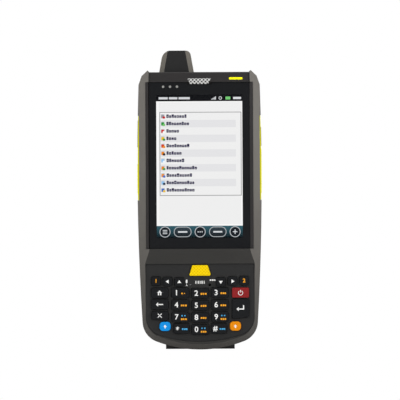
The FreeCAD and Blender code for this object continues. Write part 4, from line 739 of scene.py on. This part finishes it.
class TERMINAL_OT_legends(bpy.types.Operator):
    """Print the figures and signs on the keys"""
    bl_idname = "terminal.legends"
    bl_label = "Key legends"

    def execute(self, context):
        self.size = context.scene.terminal_legends.digit_size
        self.lift = context.scene.terminal_legends.mark_lift
        for name, text in DIGITS.items():
            self.digit(name, text)
        for name, way in ARROWS.items():
            self.arrow(name, way)
        for name in ("key_program_one", "key_program_two"):
            self.program(name)
        self.home()
        self.power()
        self.back()
        self.escape()
        self.enter()
        self.shift("key_function")
        self.shift("key_alpha")
        return {"FINISHED"}

    def spot(self, name):
        """Centre and front of a key's cap."""
        low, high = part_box(name)
        return (low[0] + high[0]) / 2, (low[2] + high[2]) / 2, low[1] - self.lift

    def finish(self, name, items, ink, suffix=""):
        piece = join(items, "legend_" + name[4:] + suffix)
        place_piece(piece, name, MATERIALS[ink])

    def digit(self, name, text):
        across, up, front = self.spot(name)
        drop = 0.0007 if text == "*" else 0.0
        self.finish(name, [label(text, across - 2.2 * MM, up - drop, self.size, front)], "white ink")
        if text == "1":
            dots = [disc(across + reach * MM, up - 0.3 * MM, size * MM, front, 16)
                    for reach, size in ((1.0, 0.5), (2.5, 0.3))]
            self.finish(name, dots, "orange ink", "_mark")
            return
        bars = []
        for step, width in enumerate((1.0, 0.8, 1.0) if text in "247" else (0.9, 1.0, 0.8)):
            left = across + (0.3 + step * 1.2) * MM
            low = up - (1.7 if text in "790" else 0.75) * MM
            bars.append(plate(left, left + width * MM, low, low + 1.0 * MM, front, 0.15 * MM))
        self.finish(name, bars, "blue ink" if text in "*#" else "orange ink", "_mark")
        if text in "790":
            dots = [disc(across + reach * MM, up + 0.8 * MM, 0.42 * MM, front, 16) for reach in (1.0, 2.6)]
            self.finish(name, dots, "blue ink", "_second_mark")

    def arrow(self, name, way):
        across, up, front = self.spot(name)
        size = 1.15 * MM
        tip = (across + way[0] * size, up + way[1] * size)
        wing = (-way[1] * size, way[0] * size)
        tail = (across - way[0] * size * 0.5, up - way[1] * size * 0.5)
        points = [tip, (tail[0] + wing[0], tail[1] + wing[1]), (tail[0] - wing[0], tail[1] - wing[1])]
        self.finish(name, [shape(points, front)], "white ink")

    def program(self, name):
        across, up, front = self.spot(name)
        text = "1" if name.endswith("one") else "2"
        self.finish(name, [label(text, across, up, self.size * 0.72, front)], "orange ink")

    def home(self):
        across, up, front = self.spot("key_home")
        eaves = up + 0.1 * MM
        roof = [(across - 1.5 * MM, eaves), (across + 1.5 * MM, eaves), (across, up + 1.5 * MM)]
        items = [shape(roof, front)]
        items.append(plate(across - 1.0 * MM, across - 0.3 * MM, up - 1.3 * MM, eaves, front))
        items.append(plate(across + 0.3 * MM, across + 1.0 * MM, up - 1.3 * MM, eaves, front))
        self.finish("key_home", items, "white ink")

    def ring(self, across, up, radius, width, front, gap=0.0):
        """A ring, open at its top by a gap angle."""
        items = []
        steps = 22
        inner = radius - width
        for step in range(steps):
            start = math.pi / 2 + gap + (2 * math.pi - 2 * gap) * step / steps
            end = math.pi / 2 + gap + (2 * math.pi - 2 * gap) * (step + 1.02) / steps
            corners = ((radius, start), (radius, end), (inner, end), (inner, start))
            items.append(shape([(across + r * math.cos(a), up + r * math.sin(a)) for r, a in corners], front))
        return items

    def power(self):
        across, up, front = self.spot("key_power")
        items = self.ring(across, up - 0.1 * MM, 1.45 * MM, 0.36 * MM, front, gap=0.55)
        items.append(plate(across - 0.18 * MM, across + 0.18 * MM, up + 0.1 * MM, up + 1.7 * MM, front))
        self.finish("key_power", items, "white ink")

    def left_arrow(self, across, up, front, reach):
        """A bar with a head that points left, and its reach in millimetres."""
        tail = across + (1.3 - reach) * MM
        bar = plate(across + (1.0 - reach) * MM, across + 2.0 * MM, up - 0.3 * MM, up + 0.3 * MM, front)
        return [bar, shape([(across - reach * MM, up), (tail, up - 1.2 * MM), (tail, up + 1.2 * MM)], front)]

    def back(self):
        across, up, front = self.spot("key_back")
        self.finish("key_back", self.left_arrow(across, up, front, 2.2), "white ink")

    def escape(self):
        across, up, front = self.spot("key_escape")
        items = []
        for turn in (math.pi / 4, -math.pi / 4):
            points = []
            for x, z in ((-1.6, -0.22), (1.6, -0.22), (1.6, 0.22), (-1.6, 0.22)):
                points.append((across + (x * math.cos(turn) - z * math.sin(turn)) * MM,
                               up + 0.3 * MM + (x * math.sin(turn) + z * math.cos(turn)) * MM))
            items.append(shape(points, front))
        self.finish("key_escape", items, "white ink")

    def enter(self):
        across, up, front = self.spot("key_enter")
        items = self.left_arrow(across, up, front, 2.4)
        items.append(plate(across + 1.4 * MM, across + 2.0 * MM, up + 0.3 * MM, up + 2.2 * MM, front))
        self.finish("key_enter", items, "white ink")

    def shift(self, name):
        across, up, front = self.spot(name)
        size = 1.0 * MM
        points = [(across, up + size), (across - size, up - 0.1 * MM), (across - 0.4 * MM, up - 0.1 * MM),
                  (across - 0.4 * MM, up - size), (across + 0.4 * MM, up - size),
                  (across + 0.4 * MM, up - 0.1 * MM), (across + size, up - 0.1 * MM)]
        self.finish(name, [shape(points, front)], "white ink")


# Printed marks and fine pieces


SCAN_BARS = (0.35, 0.2, 0.5, 0.2, 0.35, 0.5, 0.2, 0.35)


class TERMINAL_OT_marks(bpy.types.Operator):
    """Print the small signs on the keypad panel"""
    bl_idname = "terminal.marks"
    bl_label = "Panel marks"

    def execute(self, context):
        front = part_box("keypad_bezel")[0][1] - context.scene.terminal_legends.mark_lift
        items = [plate(-8.3 * MM, -7.3 * MM, 38.6 * MM, 40.6 * MM, front, 0.45 * MM)]
        items.append(plate(-7.9 * MM, -7.7 * MM, 37.3 * MM, 38.3 * MM, front))
        items.append(plate(-8.4 * MM, -7.2 * MM, 37.0 * MM, 37.25 * MM, front))
        for step, width in enumerate(SCAN_BARS):
            left = (-2.7 + step * 0.72) * MM
            items.append(plate(left, left + width * MM, 38.2 * MM, 39.9 * MM, front))
        for step in range(3):
            left = (5.6 + step * 1.25) * MM
            items.append(plate(left, left + 0.95 * MM, 39.9 * MM, 40.7 * MM, front, 0.15 * MM))
        place_piece(join(items, "panel_marks"), "terminal", MATERIALS["white ink"])
        return {"FINISHED"}


class TERMINAL_OT_inlay(bpy.types.Operator):
    """Set a plain inlay in the bar over the lens"""
    bl_idname = "terminal.inlay"
    bl_label = "Top inlay"

    def execute(self, context):
        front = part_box("display_bezel")[0][1] - context.scene.terminal_legends.mark_lift
        inlay = plate(17.3 * MM, 25.0 * MM, 156.0 * MM, 157.3 * MM, front, 0.3 * MM)
        inlay.name = "top_inlay"
        place_piece(inlay, "terminal", MATERIALS["yellow"])
        return {"FINISHED"}


class TERMINAL_OT_camera_glass(bpy.types.Operator):
    """Put domed glass over the camera and its flash"""
    bl_idname = "terminal.camera_glass"
    bl_label = "Camera glass"

    def execute(self, context):
        low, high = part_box("camera_module")
        up = (low[2] + high[2]) / 2
        self.dome("camera_glass", -15.0 * MM, 13.1 * MM, up, 2.95 * MM)
        self.dome("flash_glass", -5.5 * MM, 13.82 * MM, up, 1.45 * MM)
        return {"FINISHED"}

    def dome(self, name, across, back, up, radius):
        bpy.ops.mesh.primitive_uv_sphere_add(
            segments=32, ring_count=16, radius=radius, location=(across, back, up), rotation=FACING)
        item = bpy.context.object
        item.scale = (1, 1, 0.16)
        settle(item)
        bpy.ops.object.shade_smooth()
        item.name = name
        place_piece(item, "terminal", MATERIALS["camera glass"])


class TERMINAL_OT_screws(bpy.types.Operator):
    """Turn screws with a bevelled head and a socket, in place of the plain ones"""
    bl_idname = "terminal.screws"
    bl_label = "Housing screws"

    head_radius = 2.1 * MM
    head_depth = 1.6 * MM
    shaft_radius = 1.1 * MM
    socket_rim = 0.9 * MM
    socket_depth = 1.0 * MM
    upper_side = 26.0 * MM

    def execute(self, context):
        low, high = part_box("housing_screws")
        head = self.head_radius
        left, base = low[0] + head, low[2] + head
        screw = self.screw(left, base, low[1], high[1])
        side = self.upper_side
        rise = high[2] - head - base
        places = ((high[0] - head - left, 0.0), (-side - left, rise), (side - left, rise))
        screws = [screw] + [copied(screw, (across, 0.0, up)) for across, up in places]
        screws = join(screws, "dressed_screws")
        place_piece(screws, "terminal", MATERIALS["steel"])
        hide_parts("housing_screws")
        return {"FINISHED"}

    def screw(self, across, up, tip, back):
        """One screw from its tip to its head."""
        top = self.turned(across, up, back - self.head_depth / 2, self.head_radius, self.head_depth)
        self.hollow(top)
        shaft = back - self.head_depth - tip
        return join([top, self.turned(across, up, tip + shaft / 2, self.shaft_radius, shaft)], "screw")

    def turned(self, across, up, middle, radius, depth):
        """A round piece along the depth, with a bevelled rim."""
        bpy.ops.mesh.primitive_cylinder_add(
            vertices=36, radius=radius, depth=depth, location=(across, middle, up), rotation=FACING)
        item = settle(bpy.context.object)
        bevel = item.modifiers.new("rim", "BEVEL")
        bevel.width = min(radius, depth) * 0.14
        bevel.segments = 3
        bevel.limit_method = "ANGLE"
        select_only(item)
        bpy.ops.object.modifier_apply(modifier="rim")
        return item

    def hollow(self, item):
        """Sink a socket into the face that looks back."""
        select_only(item)
        bpy.ops.object.mode_set(mode="EDIT")
        bpy.ops.mesh.select_mode(type="FACE")
        bpy.ops.mesh.select_all(action="DESELECT")
        bpy.ops.object.mode_set(mode="OBJECT")
        widest = max(item.data.polygons, key=lambda face: (face.normal.y > 0.9) * face.area)
        widest.select = True
        bpy.ops.object.mode_set(mode="EDIT")
        bpy.ops.mesh.inset(thickness=self.socket_rim)
        bpy.ops.mesh.extrude_region_move(TRANSFORM_OT_translate={"value": (0, -self.socket_depth, 0)})
        bpy.ops.object.mode_set(mode="OBJECT")


class TERMINAL_OT_contacts(bpy.types.Operator):
    """Line up the gold contacts in the foot"""
    bl_idname = "terminal.contacts"
    bl_label = "Dock contacts"

    count = 9
    margin = 2.0 * MM

    def execute(self, context):
        low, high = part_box("dock_connector")
        middle = (low[1] + high[1]) / 2
        bpy.ops.mesh.primitive_cube_add(size=1, location=(low[0] + self.margin, middle, low[2] + 0.2 * MM))
        first = bpy.context.object
        first.scale = (0.8 * MM, 2.0 * MM, 0.3 * MM)
        edited(settle(first), bpy.ops.mesh.bevel, offset=0.08 * MM, segments=2)
        pitch = (high[0] - low[0] - 2 * self.margin) / (self.count - 1)
        items = [first] + [copied(first, (step * pitch, 0, 0)) for step in range(1, self.count)]
        place_piece(join(items, "dock_contacts"), "terminal", MATERIALS["gold"])
        return {"FINISHED"}


class TERMINAL_OT_battery_label(bpy.types.Operator):
    """Put a plain label and a pull tab on the battery, seen when its door is open"""
    bl_idname = "terminal.battery_label"
    bl_label = "Battery label"

    label_lift = 0.03 * MM
    line_lift = 0.02 * MM

    def execute(self, context):
        low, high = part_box("battery_pack")
        back = high[1] + self.label_lift
        middle = (low[2] + high[2]) / 2
        sheet = turn_over(plate(-18 * MM, 18 * MM, middle - 14 * MM, middle + 16 * MM, back, 2 * MM))
        place_piece(sheet, "terminal", MATERIALS["label"])
        sheet.name = "battery_label"
        bars = []
        for step in range(6):
            up = middle + (10 - 4 * step) * MM
            right = (14 - 3 * (step % 3)) * MM
            bars.append(turn_over(plate(-14 * MM, right, up, up + 1.4 * MM, back + self.line_lift)))
        place_piece(join(bars, "battery_label_lines"), "terminal", MATERIALS["dark ink"])
        tab = turn_over(plate(-6 * MM, 6 * MM, high[2] - 10 * MM, high[2] - 0.5 * MM, back, 1.5 * MM))
        tab.name = "battery_tab"
        place_piece(tab, "terminal", MATERIALS["yellow"])
        return {"FINISHED"}


# Studio


LAMPS = (
    ("key_light", (-0.55, -0.6, 0.55), 0.6, 3.6), ("side_light", (0.6, -0.55, 0.35), 0.6, 3.6),
    ("top_light", (0.0, -0.1, 0.8), 0.7, 2.9), ("back_light", (0.1, 0.7, 0.4), 0.7, 2.6),
)
LAMP_TARGET = Vector((0.0, 0.0, 0.09))
FLOOR_SIZE = 6.0
WHITE = (1.0, 1.0, 1.0, 1.0)
SENSOR_WIDTH = 36.0


class TERMINAL_OT_stage(bpy.types.Operator):
    """Floor, backdrop, lights and camera"""
    bl_idname = "terminal.stage"
    bl_label = "Studio"

    def execute(self, context):
        self.floor()
        self.lights(context)
        self.camera(context)
        self.surround(context)
        context.scene.view_settings.view_transform = "Standard"
        return {"FINISHED"}

    def seen_white(self, tree, output, plain, white):
        """White where the camera sees it, and plain for all other light."""
        seen = node(tree, "LightPath").outputs["Is Camera Ray"]
        mix = node(tree, "MixShader", seen, plain.outputs[0], white.outputs[0])
        feed(tree, tree.nodes[output], Surface=mix.outputs[0])

    def surround(self, context):
        world = context.scene.world or bpy.data.worlds.new("World")
        context.scene.world = world
        world.use_nodes = True
        tree = world.node_tree
        plain = tree.nodes["Background"]
        feed(tree, plain, Color=WHITE, Strength=context.scene.terminal_studio.surround_light)
        white = node(tree, "Background", Color=WHITE, Strength=1.0)
        self.seen_white(tree, "World Output", plain, white)

    def floor(self):
        bpy.ops.mesh.primitive_plane_add(size=1, location=(0, 0, 0))
        item = bpy.context.object
        item.scale = (FLOOR_SIZE, FLOOR_SIZE, 1)
        settle(item)
        item.name = "floor"
        material, tree, shader = start_material("Studio floor")
        feed(tree, shader, Base_Color=(0.8, 0.8, 0.8, 1.0), Roughness=0.8)
        white = node(tree, "Emission", Strength=1.0)
        self.seen_white(tree, "Material Output", shader, white)
        item.data.materials.append(material)

    def lights(self, context):
        for name, place, size, power in LAMPS:
            data = bpy.data.lights.new(name, "AREA")
            data.shape = "SQUARE"
            data.size = size
            data.energy = power
            item = bpy.data.objects.new(name, data)
            context.scene.collection.objects.link(item)
            item.location = place
            item.rotation_euler = (LAMP_TARGET - Vector(place)).to_track_quat("-Z", "Y").to_euler()

    def camera(self, context):
        studio = context.scene.terminal_studio
        data = bpy.data.cameras.new("camera")
        data.type = "PERSP"
        data.sensor_width = SENSOR_WIDTH
        data.lens = SENSOR_WIDTH * studio.distance / studio.view_width
        item = bpy.data.objects.new("camera", data)
        context.scene.collection.objects.link(item)
        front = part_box("display_bezel")[0][1]
        item.location = (studio.view_side, front - studio.distance, studio.view_height)
        item.rotation_euler = (math.pi / 2, studio.roll, 0)
        context.scene.camera = item


class TERMINAL_PT_panel(bpy.types.Panel):
    bl_label = "Data terminal"
    bl_space_type = "VIEW_3D"
    bl_region_type = "UI"
    bl_category = "Terminal"

    def draw(self, context):
        layout = self.layout
        scene = context.scene
        for settings in SETTINGS:
            group = getattr(scene, settings)
            for name in group.bl_rna.properties.keys():
                if name not in ("rna_type", "name"):
                    layout.prop(group, name)
        for operator in OPERATORS:
            layout.operator(operator.bl_idname)


SETTINGS = {
    "terminal_colours": TERMINAL_PG_colours,
    "terminal_screen": TERMINAL_PG_screen,
    "terminal_legends": TERMINAL_PG_legends,
    "terminal_studio": TERMINAL_PG_studio,
}
OPERATORS = (
    TERMINAL_OT_finishes, TERMINAL_OT_screen, TERMINAL_OT_legends, TERMINAL_OT_marks, TERMINAL_OT_inlay,
    TERMINAL_OT_camera_glass, TERMINAL_OT_screws, TERMINAL_OT_contacts, TERMINAL_OT_battery_label,
    TERMINAL_OT_stage,
)


def register():
    for settings in SETTINGS.values():
        bpy.utils.register_class(settings)
    for name, settings in SETTINGS.items():
        setattr(bpy.types.Scene, name, bpy.props.PointerProperty(type=settings))
    for operator in OPERATORS:
        bpy.utils.register_class(operator)
    bpy.utils.register_class(TERMINAL_PT_panel)


def unregister():
    bpy.utils.unregister_class(TERMINAL_PT_panel)
    for operator in reversed(OPERATORS):
        bpy.utils.unregister_class(operator)
    for name, settings in SETTINGS.items():
        delattr(bpy.types.Scene, name)
        bpy.utils.unregister_class(settings)


def main():
    register()
    bpy.ops.terminal.finishes()
    bpy.ops.terminal.screen()
    bpy.ops.terminal.legends()
    bpy.ops.terminal.marks()
    bpy.ops.terminal.inlay()
    bpy.ops.terminal.camera_glass()
    bpy.ops.terminal.screws()
    bpy.ops.terminal.contacts()
    bpy.ops.terminal.battery_label()
    bpy.ops.terminal.stage()
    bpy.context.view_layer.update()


if __name__ == "__main__":
    main()
